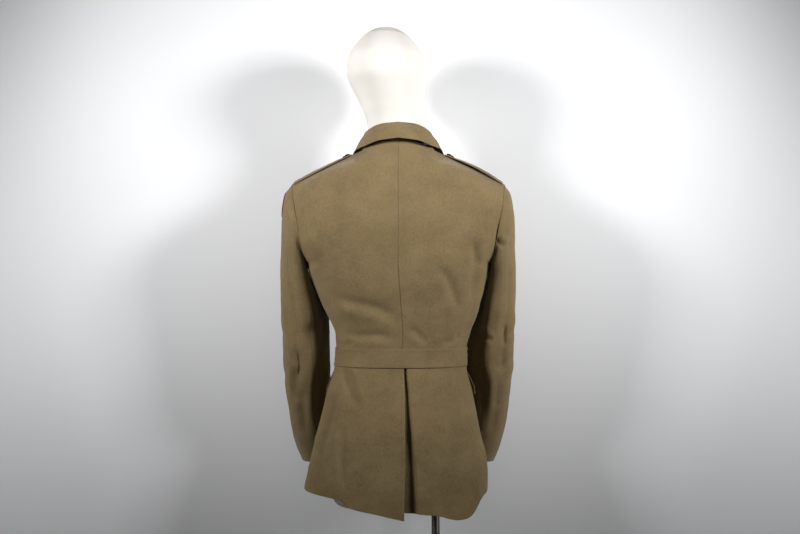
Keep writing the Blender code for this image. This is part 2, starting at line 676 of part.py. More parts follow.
def make_form_torso():
    """The form's trunk: the tunic's own shape moved in, rounded below, with a neck."""
    trunk = np.linspace(FORM_ROUNDING + FORM_BOTTOM, UNDERARM_HEIGHT, 11)
    rows = [(row, row) for row in (*trunk, 0.835, 0.865, 0.900, 0.928)] + list(SHOULDER_ROWS)
    across = np.linspace(0.0, 1.0, 9)
    bridge = np.array((0.25, 0.5, 0.75))[:, None]
    rings = []
    for back_row, ahead_row in rows:
        away = CLOTH + np.interp(back_row, *zip(*FORM_CLEARANCE))
        halves = []
        for behind, height in ((True, back_row), (False, ahead_row)):
            height = np.full_like(across, height)
            normal = body_normal(across, height, behind, True, False)
            halves.append(body(across, height, behind, True, False) - normal * away)
        back, front = halves
        if ahead_row == SEAM_ROW:
            back = front = 0.5 * (back + front)
        side = back[-1] * (1.0 - bridge) + front[-1] * bridge
        half = np.concatenate([back, side, front[::-1]])
        half[(0, -1), 0] = 0.0
        rings.append(np.concatenate([half, half[-2:0:-1] * (-1.0, 1.0, 1.0)]))
    low = rings[0]
    low[:, 2] = FORM_BOTTOM + FORM_ROUNDING
    middle = low.mean(axis=0)
    for turn in (30.0, 60.0, 90.0):
        shrink = FORM_ROUNDING * (1.0 - math.cos(math.radians(turn)))
        ring = low - unit(low - middle) * shrink
        ring[:, 2] = low[:, 2] - FORM_ROUNDING * math.sin(math.radians(turn))
        rings.insert(0, ring)
    torso = closed_skin("form_torso", np.array(rings), linen, True)
    neck = turned("neck_cutter", ((0.0, 0.94), (NECK_RADIUS, 0.94), (NECK_RADIUS, 1.065),
                                  (NECK_RADIUS + 0.0045, NECK_TOP), (0.0, NECK_TOP)),
                  NECK_PLACE, 28, linen)
    neck.hide_render = True
    neck.display_type = "WIRE"
    join = torso.modifiers.new("neck", "BOOLEAN")
    join.operation = "UNION"
    join.object = neck


def make_head():
    """A plain, featureless head: rings from the neck to the crown."""
    turn = np.arange(24) * 2.0 * math.pi / 24
    rows = hermite(np.arange(len(HEAD)), np.array(HEAD), np.linspace(0.0, len(HEAD) - 1.0, 13))
    rings = np.stack([rows[:, 3:4] + rows[:, 1:2] * np.cos(turn),
                      rows[:, 4:5] + rows[:, 2:3] * np.sin(turn),
                      rows[:, :1] * np.ones_like(turn)], -1)
    closed_skin("form_head", rings, linen)


def make_stand():
    """The pole, off to one side, and its round base."""
    top = FORM_BOTTOM - SEAM
    turned("pole", ((0.0, BASE_THICKNESS + SEAM), (POLE_RADIUS, BASE_THICKNESS + SEAM),
                    (POLE_RADIUS, top), (0.0, top)), (*POLE_PLACE, 0.0), 20, steel)
    turned("base", ((0.0, 0.0), (BASE_RADIUS - 0.002, 0.0), (BASE_RADIUS, 0.002),
                    (BASE_RADIUS, BASE_THICKNESS - 0.002), (BASE_RADIUS - 0.002, BASE_THICKNESS),
                    (0.0, BASE_THICKNESS)), (0.0, 0.0, 0.0), 40, steel)


def main():
    """Clear the scene and build every piece."""
    for old in list(bpy.data.objects):
        bpy.data.objects.remove(old, do_unlink=True)
    for left in (True, False):
        make_back(left)
        make_front(left)
        make_lapel(left)
        make_sleeve(left)
        make_shoulder_strap(left)
        make_hip_flap(left)
    make_left_skirt()
    make_right_skirt()
    make_belt()
    make_collar()
    make_front_buttons()
    make_badge()
    make_form_torso()
    make_head()
    make_stand()


main()
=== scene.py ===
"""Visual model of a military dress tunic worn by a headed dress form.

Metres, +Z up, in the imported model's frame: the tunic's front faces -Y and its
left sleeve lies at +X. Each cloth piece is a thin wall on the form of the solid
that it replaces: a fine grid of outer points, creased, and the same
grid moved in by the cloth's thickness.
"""
from __future__ import annotations

import logging
import math
from dataclasses import dataclass, field
from enum import Enum
from typing import Callable, Optional, Sequence

import bmesh
import bpy
import numpy as np
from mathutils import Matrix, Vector


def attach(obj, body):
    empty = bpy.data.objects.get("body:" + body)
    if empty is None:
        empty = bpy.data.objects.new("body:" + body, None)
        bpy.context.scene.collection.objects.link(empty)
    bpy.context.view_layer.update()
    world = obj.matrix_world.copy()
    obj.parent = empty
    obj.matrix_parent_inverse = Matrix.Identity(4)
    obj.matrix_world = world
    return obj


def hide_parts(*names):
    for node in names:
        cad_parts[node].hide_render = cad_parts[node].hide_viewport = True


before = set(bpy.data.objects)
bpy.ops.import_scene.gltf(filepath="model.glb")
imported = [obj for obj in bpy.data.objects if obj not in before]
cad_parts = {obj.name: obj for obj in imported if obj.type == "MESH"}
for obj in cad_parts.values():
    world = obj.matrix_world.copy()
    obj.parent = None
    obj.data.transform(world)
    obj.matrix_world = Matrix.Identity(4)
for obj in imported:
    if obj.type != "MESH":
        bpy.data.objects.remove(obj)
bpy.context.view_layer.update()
LOG = logging.getLogger("tunic")

Grid = np.ndarray
Colour = tuple[float, float, float]
Face = Callable[[Grid, Grid], tuple[Grid, Grid]]

CLOTH = 0.0018                # thickness of the wool
SEAM = 0.0003                 # gap between two pieces that meet
LAY = 0.0004                  # gap under a piece that lies on another one
WAIST = 0.624                 # joint of the back and its skirts, under the half belt
FRONT_HEM = 0.333
BUTTON_STAND = 0.020          # how far each front passes the middle
BREAK_HEIGHT = 0.845          # where the lapel starts to turn
NECK_HALF_WIDTH = 0.072
NECK_BACK = (0.068, 1.045)    # depth and height of the neck seam at the middle back
NECK_SIDE = (0.015, 1.031)    # the same at the shoulder seam
RIDGE_NECK = (0.074, -0.010, 1.034)
SHOULDER_SEAM_ANGLE = 22.0    # place of the shoulder seam on the armhole, in degrees
RIDGE_ROW = 1.034             # the row along the top of the shoulder
SEAM_ROW = 1.058              # the row along the shoulder seam, behind the top
BACK_SQUARENESS = 2.15
FRONT_SQUARENESS = 1.95
HIND_SEAM = 108.0             # degrees round a sleeve from its outer side
FORE_SEAM = -100.0
FRONT_LAP = 0.0030            # how far the left front stands over the right one

# Horizontal sections of the body: height, half width, centre, back, front, side.
SECTIONS = np.array((
    (0.312, 0.185, 0.006, 0.136, -0.128, 0.032),
    (0.366, 0.181, 0.004, 0.132, -0.126, 0.032),
    (0.426, 0.172, 0.000, 0.126, -0.121, 0.031),
    (0.490, 0.158, -0.002, 0.117, -0.114, 0.028),
    (0.554, 0.143, -0.004, 0.104, -0.106, 0.023),
    (0.602, 0.1305, -0.004, 0.093, -0.099, 0.018),
    (0.630, 0.1285, -0.006, 0.089, -0.097, 0.015),
    (0.666, 0.133, -0.009, 0.091, -0.100, 0.012),
    (0.714, 0.153, -0.006, 0.100, -0.110, 0.007),
    (0.760, 0.170, -0.003, 0.108, -0.117, 0.000),
    (0.800, 0.181, 0.000, 0.113, -0.121, 0.000),
))
# Rows above the underarm: height, depth at the middle, place of the row's end on
# the armhole, and how round the row is, both in degrees.
BACK_YOKE = ((0.835, 0.1165, 150.0, 82.0), (0.885, 0.1180, 115.0, 70.0),
             (0.945, 0.1090, 80.0, 62.0), (1.003, 0.0900, 48.0, 52.0))
FRONT_YOKE = ((0.835, -0.1230, -150.0, 82.0), (0.885, -0.1200, -112.0, 70.0),
              (0.940, -0.1060, -75.0, 60.0), (0.992, -0.0760, -38.0, 50.0))
# Sections of a sleeve, armhole to cuff: outer x and z, inner x and z, middle y, half
# depth, how much further forward the inner side lies, and how much further out the
# right sleeve's inner side is, since the body leans to the right.
SLEEVE = np.array((
    (0.2110, 0.966, 0.1810, 0.800, 0.000, 0.0620, 0.000, 0.000),
    (0.2250, 0.944, 0.1812, 0.790, 0.000, 0.0650, 0.002, 0.001),
    (0.2310, 0.895, 0.1780, 0.779, -0.001, 0.0675, 0.012, 0.002),
    (0.2335, 0.835, 0.1690, 0.764, -0.003, 0.0685, 0.028, 0.006),
    (0.2345, 0.770, 0.1540, 0.735, -0.006, 0.0680, 0.040, 0.010),
    (0.2345, 0.705, 0.1420, 0.695, -0.011, 0.0660, 0.044, 0.009),
    (0.2330, 0.645, 0.1405, 0.642, -0.019, 0.0630, 0.036, 0.000),
    (0.2315, 0.590, 0.1395, 0.590, -0.036, 0.0600, 0.026, -0.003),
    (0.2285, 0.540, 0.1380, 0.545, -0.056, 0.0575, 0.017, -0.002),
    (0.2225, 0.480, 0.1380, 0.488, -0.080, 0.0550, 0.009, 0.000),
    (0.2130, 0.435, 0.1390, 0.445, -0.097, 0.0525, 0.004, 0.000),
    (0.2010, 0.397, 0.1375, 0.404, -0.111, 0.0500, 0.000, 0.000),
))
# The collar's stations, middle back to front end: its fold, the lower edge of its
# fall, and the foot of its stand.
COLLAR = np.array((
    (0.000, 0.0660, 1.0810, 0.0000, 0.0850, 1.0485, 0.0000, 0.0662, 1.0458),
    (0.030, 0.0600, 1.0785, 0.0370, 0.0790, 1.0440, 0.0320, 0.0610, 1.0443),
    (0.052, 0.0430, 1.0715, 0.0650, 0.0590, 1.0350, 0.0550, 0.0470, 1.0408),
    (0.065, 0.0100, 1.0610, 0.0825, 0.0130, 1.0320, 0.0700, 0.0140, 1.0335),
    (0.066, -0.0300, 1.0400, 0.0930, -0.0330, 1.0248, 0.0655, -0.0300, 1.0280),
    (0.064, -0.0645, 1.0060, 0.1035, -0.0628, 0.9955, 0.0610, -0.0610, 0.9990),
))
# The head from neck to crown: height, half width, half depth, middle x and y.
HEAD = np.array((
    (1.0700, 0.0575, 0.0572, 0.003, 0.000),
    (1.0900, 0.0595, 0.0590, 0.004, 0.000),
    (1.1083, 0.0625, 0.0620, 0.007, 0.000),
    (1.1300, 0.0665, 0.0760, 0.012, -0.008),
    (1.1560, 0.0745, 0.0900, 0.017, -0.013),
    (1.1850, 0.0800, 0.0970, 0.023, -0.012),
    (1.2150, 0.0770, 0.0950, 0.025, -0.010),
    (1.2420, 0.0625, 0.0800, 0.025, -0.008),
    (1.2640, 0.0420, 0.0560, 0.025, -0.007),
    (1.2760, 0.0190, 0.0260, 0.025, -0.006),
    (1.2790, 0.0040, 0.0060, 0.025, -0.006),
))


class Half(Enum):
    """A side of the wearer, with the sign of its X."""

    LEFT = 1.0
    RIGHT = -1.0

    @property
    def word(self) -> str:
        """The side's name as the nodes write it."""
        return self.name.lower()


HEM_RISE = {Half.LEFT: 0.033, Half.RIGHT: 0.039}  # how much a front's hem rises to the side


class View(Enum):
    """A side that creases are laid out on: its two plane axes and the way out."""

    BACK = ((0, 2), (0.0, 1.0, 0.0))
    FRONT = ((0, 2), (0.0, -1.0, 0.0))
    LEFT = ((1, 2), (1.0, 0.0, 0.0))
    RIGHT = ((1, 2), (-1.0, 0.0, 0.0))


def unit(vectors: Grid) -> Grid:
    """The same directions at length one."""
    return vectors / np.maximum(np.linalg.norm(vectors, axis=-1, keepdims=True), 1e-9)


def ease(value: Grid) -> Grid:
    """A soft step: 3t^2 - 2t^3 of the value held between 0 and 1."""
    value = np.clip(value, 0.0, 1.0)
    return value * value * (3.0 - 2.0 * value)


def through_rows(places: Sequence[float], rows: Grid, at: Grid) -> Grid:
    """Points on the curves that run through rows of points, one curve a column.

    Between two rows it is the cubic whose end slopes are the harmonic means of
    the slopes on either side, and nought where those turn, so it never overshoots.

    Args:
        places: where each row stands along the curves.
        rows: an array of rows, columns and values.
        at: the place wanted on each column's curve.

    Returns:
        An array of columns and values.
    """
    places = np.asarray(places, float)
    at = np.clip(at, places[0], places[-1])
    secants = np.diff(rows, axis=0) / np.diff(places)[:, None, None]
    before, after = secants[:-1], secants[1:]
    same_way = before * after > 0.0
    total = np.where(same_way, before + after, 1.0)
    inner = np.where(same_way, 2.0 * before * after / total, 0.0)
    slopes = np.concatenate([secants[:1], inner, secants[-1:]])
    low = np.clip(np.searchsorted(places, at, side="right") - 1, 0, len(places) - 2)
    column = np.arange(rows.shape[1])
    span = (places[low + 1] - places[low])[:, None]
    part = (at - places[low])[:, None] / span
    rise = part * part * (3.0 - 2.0 * part)
    return (rows[low, column] * (1.0 - rise) + rows[low + 1, column] * rise
            + slopes[low, column] * span * part * (1.0 - part) ** 2
            - slopes[low + 1, column] * span * part * part * (1.0 - part))


def curve_through(places: Sequence[float], values: Grid, at: Grid) -> Grid:
    """One such curve through rows of values, read at many places.

    Args:
        places: where each row of values stands.
        values: an array of rows and values.
        at: the places wanted, in any shape.

    Returns:
        An array of at's shape with the values last.
    """
    flat = np.ravel(at)
    rows = np.repeat(np.asarray(values, float)[:, None, :], len(flat), axis=1)
    return through_rows(places, rows, flat).reshape(np.shape(at) + (rows.shape[-1],))


def arcs(points: Grid, axis: int) -> Grid:
    """Length along a grid's lines from their start: the running sum of its steps."""
    steps = np.linalg.norm(np.diff(points, axis=axis), axis=-1)
    start = np.zeros_like(np.take(steps, [0], axis=axis))
    return np.concatenate([start, np.cumsum(steps, axis=axis)], axis=axis)


def facing(surface: Callable[[Grid, Grid], Grid], first: Grid, second: Grid,
           away: Callable[[Grid], Grid]) -> Grid:
    """Unit normals of a surface: the cross product of its two small differences.

    Args:
        surface: points for two grids of parameters.
        first: the first parameter.
        second: the second parameter.
        away: directions that the normals should agree with.

    Returns:
        Normals turned to the side of away.
    """
    step = 0.002
    one = surface(first + step, second) - surface(first - step, second)
    two = surface(first, second + step) - surface(first, second - step)
    normal = unit(np.cross(one, two))
    turned_in = np.sum(normal * away(surface(first, second)), -1, keepdims=True) < 0.0
    return np.where(turned_in, -normal, normal)


def armhole(angle: Grid | float, half: Half = Half.LEFT) -> Grid:
    """A point of an armhole, an ellipse leaning inwards below, by degrees from its top.

    Args:
        angle: degrees from the top, positive behind.
        half: the side of the wearer.

    Returns:
        The points.
    """
    outer_x, outer_z, inner_x, inner_z, _, depth = SLEEVE[0, :6]
    turn = np.radians(angle)
    rise = 0.5 + 0.5 * np.cos(turn)
    return np.stack([half.value * (inner_x + (outer_x - inner_x) * rise), depth * np.sin(turn),
                     inner_z + (outer_z - inner_z) * rise], axis=-1)


def armhole_direction(points: Grid, normal: Grid, half: Half) -> Grid:
    """Normals near the shoulder's end turned into the plane of the armhole."""
    centre = 0.5 * (armhole(0.0, half) + armhole(180.0, half))
    share = ease((points[..., 2:] - 0.885) / 0.055)
    return unit(normal * (1.0 - share) + unit(points - centre) * share)


@dataclass(frozen=True)
class BodyForm:
    """The trunk's outer face on one side, behind or in front.

    Across runs from 0 at the middle to 1 at the side or armhole, and a row is
    named by its height at the middle. The right half mirrors the left one,
    apart from the sections' centres.
    """

    behind: bool
    half: Half
    neck_hole: bool = True

    def section_row(self, section: Grid, across: Grid) -> Grid:
        """One quarter of a level section, a squared ellipse.

        Args:
            section: its height, half width, centre, back, front and side.
            across: places from the middle to the side.

        Returns:
            Its points.
        """
        height, half_width, centre, back, front, side = section
        power = 2.0 / (BACK_SQUARENESS if self.behind else FRONT_SQUARENESS)
        turn = across * math.pi / 2.0
        reach = np.sign(turn) * np.abs(np.sin(turn)) ** power
        middle = np.sign(np.cos(turn)) * np.abs(np.cos(turn)) ** power
        depth = back if self.behind else front
        return np.stack([centre * self.half.value + half_width * reach,
                         side + (depth - side) * middle, np.full_like(across, height)], -1)

    @staticmethod
    def yoke_row(row: Sequence[float], across: Grid) -> Grid:
        """One row above the underarm: an arc from the middle to the armhole.

        Args:
            row: its height, depth, end on the armhole and roundness.
            across: places from the middle to the armhole.

        Returns:
            Its points.
        """
        height, depth, place, roundness = row
        end = armhole(place)
        arc = math.radians(roundness)
        middle = (np.cos(arc * across) - math.cos(arc)) / (1.0 - math.cos(arc))
        return np.stack([end[0] * np.sin(arc * across) / math.sin(arc),
                         end[1] + (depth - end[1]) * middle,
                         end[2] + (height - end[2]) * (1.0 - across ** 2)], -1)

    @staticmethod
    def shoulder_row(neck: Sequence[float], end: Grid, across: Grid) -> Grid:
        """A straight row from the neck to the shoulder's end, level inside the neck."""
        reach = end[0] * across
        part = np.clip((reach - neck[0]) / (end[0] - neck[0]), 0.0, 1.0)
        return np.stack([reach, neck[1] + (end[1] - neck[1]) * part,
                         neck[2] + (end[2] - neck[2]) * part], -1)

    def top_rows(self, across: Grid) -> list[tuple[float, Grid]]:
        """The last rows, each with its place: the shoulder, and the neck seam behind."""
        neck = (NECK_HALF_WIDTH, *NECK_SIDE)
        seam = self.shoulder_row(neck, armhole(SHOULDER_SEAM_ANGLE), across)
        if not self.behind:
            return [(RIDGE_ROW, self.shoulder_row(RIDGE_NECK, armhole(0.0), across)),
                    (SEAM_ROW, seam)]
        if self.neck_hole:
            bow = np.sqrt(np.clip(1.0 - (seam[:, 0] / neck[0]) ** 2, 0.0, 1.0))
            seam[:, 1] += (NECK_BACK[0] - neck[1]) * bow
            seam[:, 2] += (NECK_BACK[1] - neck[2]) * bow
        return [(NECK_BACK[1], seam)]

    def points(self, across: Grid, row: Grid) -> Grid:
        """Points of the face for grids of across and row."""
        across, row = np.broadcast_arrays(across, row)
        flat = np.ravel(across)
        rows = [(s[0], self.section_row(s, flat)) for s in SECTIONS]
        yoke = BACK_YOKE if self.behind else FRONT_YOKE
        rows += [(y[0], self.yoke_row(y, flat)) for y in yoke]
        rows += self.top_rows(flat)
        places, lines = zip(*rows)
        points = through_rows(places, np.array(lines), np.ravel(row))
        points[:, 0] *= self.half.value
        return points.reshape(across.shape + (3,))

    def normals(self, across: Grid, row: Grid) -> Grid:
        """Outward unit normals of the face."""
        def away(points: Grid) -> Grid:
            above = np.clip((points[..., 2:] - 0.90) * 2.0, 0.0, 1.0)
            return points * (1.0, 1.0, 0.0) + above * (0.0, 0.0, 1.0)
        across, row = np.broadcast_arrays(across, row)
        return facing(self.points, across, row, away)


def shoulder_seam_normal(across: Grid, half: Half) -> Grid:
    """The direction that both walls share along the shoulder seam."""
    back = BodyForm(True, half).normals(across, np.full_like(across, NECK_BACK[1] - 0.004))
    front = BodyForm(False, half).normals(across, np.full_like(across, SEAM_ROW - 0.004))
    return unit(back + front)


@dataclass(frozen=True)
class SleeveForm:
    """A sleeve's outer face, by place along it and degrees round it from its outer side."""

    half: Half

    def points(self, along: Grid, angle: Grid) -> Grid:
        """Points for grids of along and angle: leaning ellipses through the sections."""
        along, angle = np.broadcast_arrays(along, angle)
        rows = curve_through(np.linspace(0.0, 1.0, len(SLEEVE)), SLEEVE, along)
        outer_x, outer_z, inner_x, inner_z, middle, depth, lean, right = np.moveaxis(rows, -1, 0)
        if self.half is Half.RIGHT:
            inner_x = inner_x + right
        turn = np.radians(angle)
        mix = 0.5 + 0.5 * np.cos(turn)
        return np.stack([self.half.value * (inner_x + (outer_x - inner_x) * mix),
                         middle + depth * np.sin(turn) - lean * (1.0 - mix),
                         inner_z + (outer_z - inner_z) * mix], -1)

    def normals(self, along: Grid, angle: Grid) -> Grid:
        """Unit normals away from the sleeve's middle line."""
        along, angle = np.broadcast_arrays(along, angle)
        centre = 0.5 * (self.points(along, angle * 0.0) + self.points(along, angle * 0.0 + 180.0))
        return facing(lambda place, turn: self.points(place, turn * 180.0), along, angle / 180.0,
                      lambda points: points - centre)


@dataclass(frozen=True)
class Crease:
    """A soft trough along a line drawn on one side, with a lip raised beside it.

    The push at a distance d from the line is -depth * exp(-(d / width)^2), and
    the lip adds the same bell, 1.8 widths to one side. Both fade at the ends.
    """

    line: tuple[tuple[float, float], ...]
    depth: float
    width: float
    lip: float = 0.45
    lip_side: float = 1.0
    view: View = View.BACK

    def push(self, points: Grid, normals: Grid) -> Grid:
        """How far the crease moves each point along its normal."""
        axes, out = self.view.value
        count = len(self.line)
        steps = np.linspace(0, count - 1, 6 * count)
        path = curve_through(range(count), np.array(self.line), steps)
        start, run = path[:-1], np.diff(path, axis=0)
        length = np.linalg.norm(run, axis=1)
        flat = points[..., list(axes)].reshape(-1, 1, 2) - start
        place = np.clip(np.sum(flat * run, -1) / length ** 2, 0.0, 1.0)
        off = flat - place[..., None] * run
        distance = np.linalg.norm(off, axis=-1)
        nearest = np.argmin(distance, axis=1)
        pick = np.arange(len(nearest))
        distance, off, place = distance[pick, nearest], off[pick, nearest], place[pick, nearest]
        side = np.sign(run[nearest, 0] * off[:, 1] - run[nearest, 1] * off[:, 0]) * self.lip_side
        begun = np.concatenate([[0.0], np.cumsum(length)])[:-1]
        along = (begun[nearest] + place * length[nearest]) / length.sum()
        fade = ease(along / 0.25) * ease((1.0 - along) / 0.25)
        trough = np.exp(-(distance / self.width) ** 2)
        raised = np.exp(-((distance * side - 1.8 * self.width) / (1.1 * self.width)) ** 2)
        seen = ease((np.sum(normals * out, -1) + 0.10) / 0.40).ravel()
        push = self.depth * fade * seen * (self.lip * raised - trough)
        return push.reshape(points.shape[:-1])


@dataclass(frozen=True)
class Unevenness:
    """Smooth waves in random directions, summed: no cloth hangs quite even."""

    height: float
    size: float
    seed: int
    waves: int = 12

    def push(self, points: Grid) -> Grid:
        """The sum of sines of each wave's phase, as a height at each point."""
        draw = np.random.default_rng(self.seed)
        direction = unit(draw.normal(size=(self.waves, 3)))
        number = 2.0 * math.pi / (self.size * draw.uniform(0.6, 1.8, self.waves))
        phase = draw.uniform(0.0, 2.0 * math.pi, self.waves)
        turns = points @ (direction * number[:, None]).T + phase
        return self.height * np.sin(turns).sum(-1) / math.sqrt(self.waves)


@dataclass(frozen=True)
class Drape:
    """All the creases of one part of the garment, and its unevenness."""

    creases: tuple[Crease, ...]
    waves: tuple[Unevenness, ...] = (Unevenness(0.0009, 0.11, 4), Unevenness(0.00028, 0.030, 9))

    def lift(self, points: Grid, normals: Grid) -> Grid:
        """How far the cloth stands off its even form at each point."""
        push = sum(wave.push(points) for wave in self.waves)
        for crease in self.creases:
            push = push + crease.push(points, normals)
        return push

    def laid(self, points: Grid, normals: Grid, share: Grid | float = 1.0) -> Grid:
        """The points moved along their normals by the drape.

        Args:
            points: the even form.
            normals: its normals.
            share: how much of the drape is kept at each point.

        Returns:
            The creased points.
        """
        return points + normals * (self.lift(points, normals) * share)[..., None]


BODY_DRAPE = Drape((
    # pulls above and below the half belt
    Crease(((0.131, 0.751), (0.092, 0.733), (0.052, 0.724), (0.012, 0.707), (-0.007, 0.699)),
           0.0040, 0.0105),
    Crease(((0.096, 0.659), (0.069, 0.668), (0.0385, 0.668), (0.006, 0.661)), 0.0030, 0.0080),
    Crease(((-0.072, 0.806), (-0.0855, 0.7905), (-0.103, 0.760), (-0.114, 0.729),
            (-0.120, 0.7065)), 0.0054, 0.0105, 0.55, 1.0),
    Crease(((-0.147, 0.863), (-0.1485, 0.823), (-0.1485, 0.756), (-0.141, 0.724)),
           0.0045, 0.0090, 0.4, -1.0),
    Crease(((-0.0245, 0.6855), (-0.042, 0.666), (-0.059, 0.653)), 0.0028, 0.0070),
    Crease(((0.082, 0.655), (0.106, 0.648), (0.121, 0.655)), 0.0022, 0.0050),
    Crease(((-0.080, 0.652), (-0.104, 0.657), (-0.124, 0.672)), 0.0020, 0.0060),
    Crease(((-0.017, 0.935), (-0.0175, 0.870), (-0.017, 0.800)), -0.0016, 0.0055, 0.0),
    Crease(((0.028, 0.905), (0.040, 0.850), (0.036, 0.790)), 0.0016, 0.0180),
    Crease(((0.150, 0.880), (0.146, 0.830), (0.135, 0.780)), 0.0030, 0.0110, 0.4, 1.0),
    Crease(((0.110, 0.960), (0.125, 0.915), (0.134, 0.870)), 0.0016, 0.0160),
    Crease(((-0.105, 0.965), (-0.120, 0.920), (-0.134, 0.880)), 0.0016, 0.0150),
    # the skirts
    Crease(((0.106, 0.612), (0.095, 0.575), (0.0785, 0.529)), 0.0042, 0.0090, 0.5, -1.0),
    Crease(((0.121, 0.598), (0.140, 0.520), (0.162, 0.434)), -0.0034, 0.0120, 0.0),
    Crease(((0.117, 0.560), (0.135, 0.490), (0.1565, 0.410)), 0.0046, 0.0080, 0.3, -1.0),
    Crease(((0.107, 0.505), (0.108, 0.440), (0.106, 0.380)), 0.0026, 0.0065),
    Crease(((0.050, 0.560), (0.056, 0.470), (0.060, 0.360)), -0.0022, 0.0200, 0.0),
    Crease(((-0.1595, 0.470), (-0.155, 0.400), (-0.148, 0.335)), -0.0034, 0.0120, 0.0),
    Crease(((-0.110, 0.600), (-0.118, 0.520), (-0.126, 0.400)), 0.0030, 0.0130, 0.4, 1.0),
    Crease(((-0.060, 0.590), (-0.070, 0.500), (-0.078, 0.360)), -0.0024, 0.0180, 0.0),
    # the fronts
    Crease(((0.120, 0.742), (0.085, 0.728), (0.050, 0.700)), 0.0036, 0.0105, 0.45, 1.0,
           View.FRONT),
    Crease(((-0.118, 0.735), (-0.085, 0.716), (-0.048, 0.690)), 0.0036, 0.0100, 0.45, -1.0,
           View.FRONT),
    Crease(((0.105, 0.650), (0.075, 0.655), (0.045, 0.645)), 0.0026, 0.0080, 0.4, 1.0, View.FRONT),
    Crease(((-0.108, 0.655), (-0.075, 0.645), (-0.045, 0.650)), 0.0026, 0.0075, 0.4, 1.0,
           View.FRONT),
    Crease(((0.150, 0.870), (0.146, 0.810), (0.132, 0.760)), 0.0038, 0.0100, 0.4, 1.0, View.FRONT),
    Crease(((-0.150, 0.875), (-0.147, 0.815), (-0.136, 0.755)), 0.0036, 0.0100, 0.4, -1.0,
           View.FRONT),
    Crease(((0.070, 0.520), (0.084, 0.440), (0.090, 0.350)), 0.0030, 0.0120, 0.4, 1.0, View.FRONT),
    Crease(((-0.085, 0.520), (-0.100, 0.440), (-0.112, 0.350)), 0.0032, 0.0120, 0.4, -1.0,
           View.FRONT),
    Crease(((0.130, 0.540), (0.150, 0.460), (0.160, 0.370)), -0.0030, 0.0140, 0.0, 1.0,
           View.FRONT),
    Crease(((-0.045, 0.540), (-0.052, 0.450), (-0.050, 0.350)), -0.0022, 0.0160, 0.0, 1.0,
           View.FRONT),
))

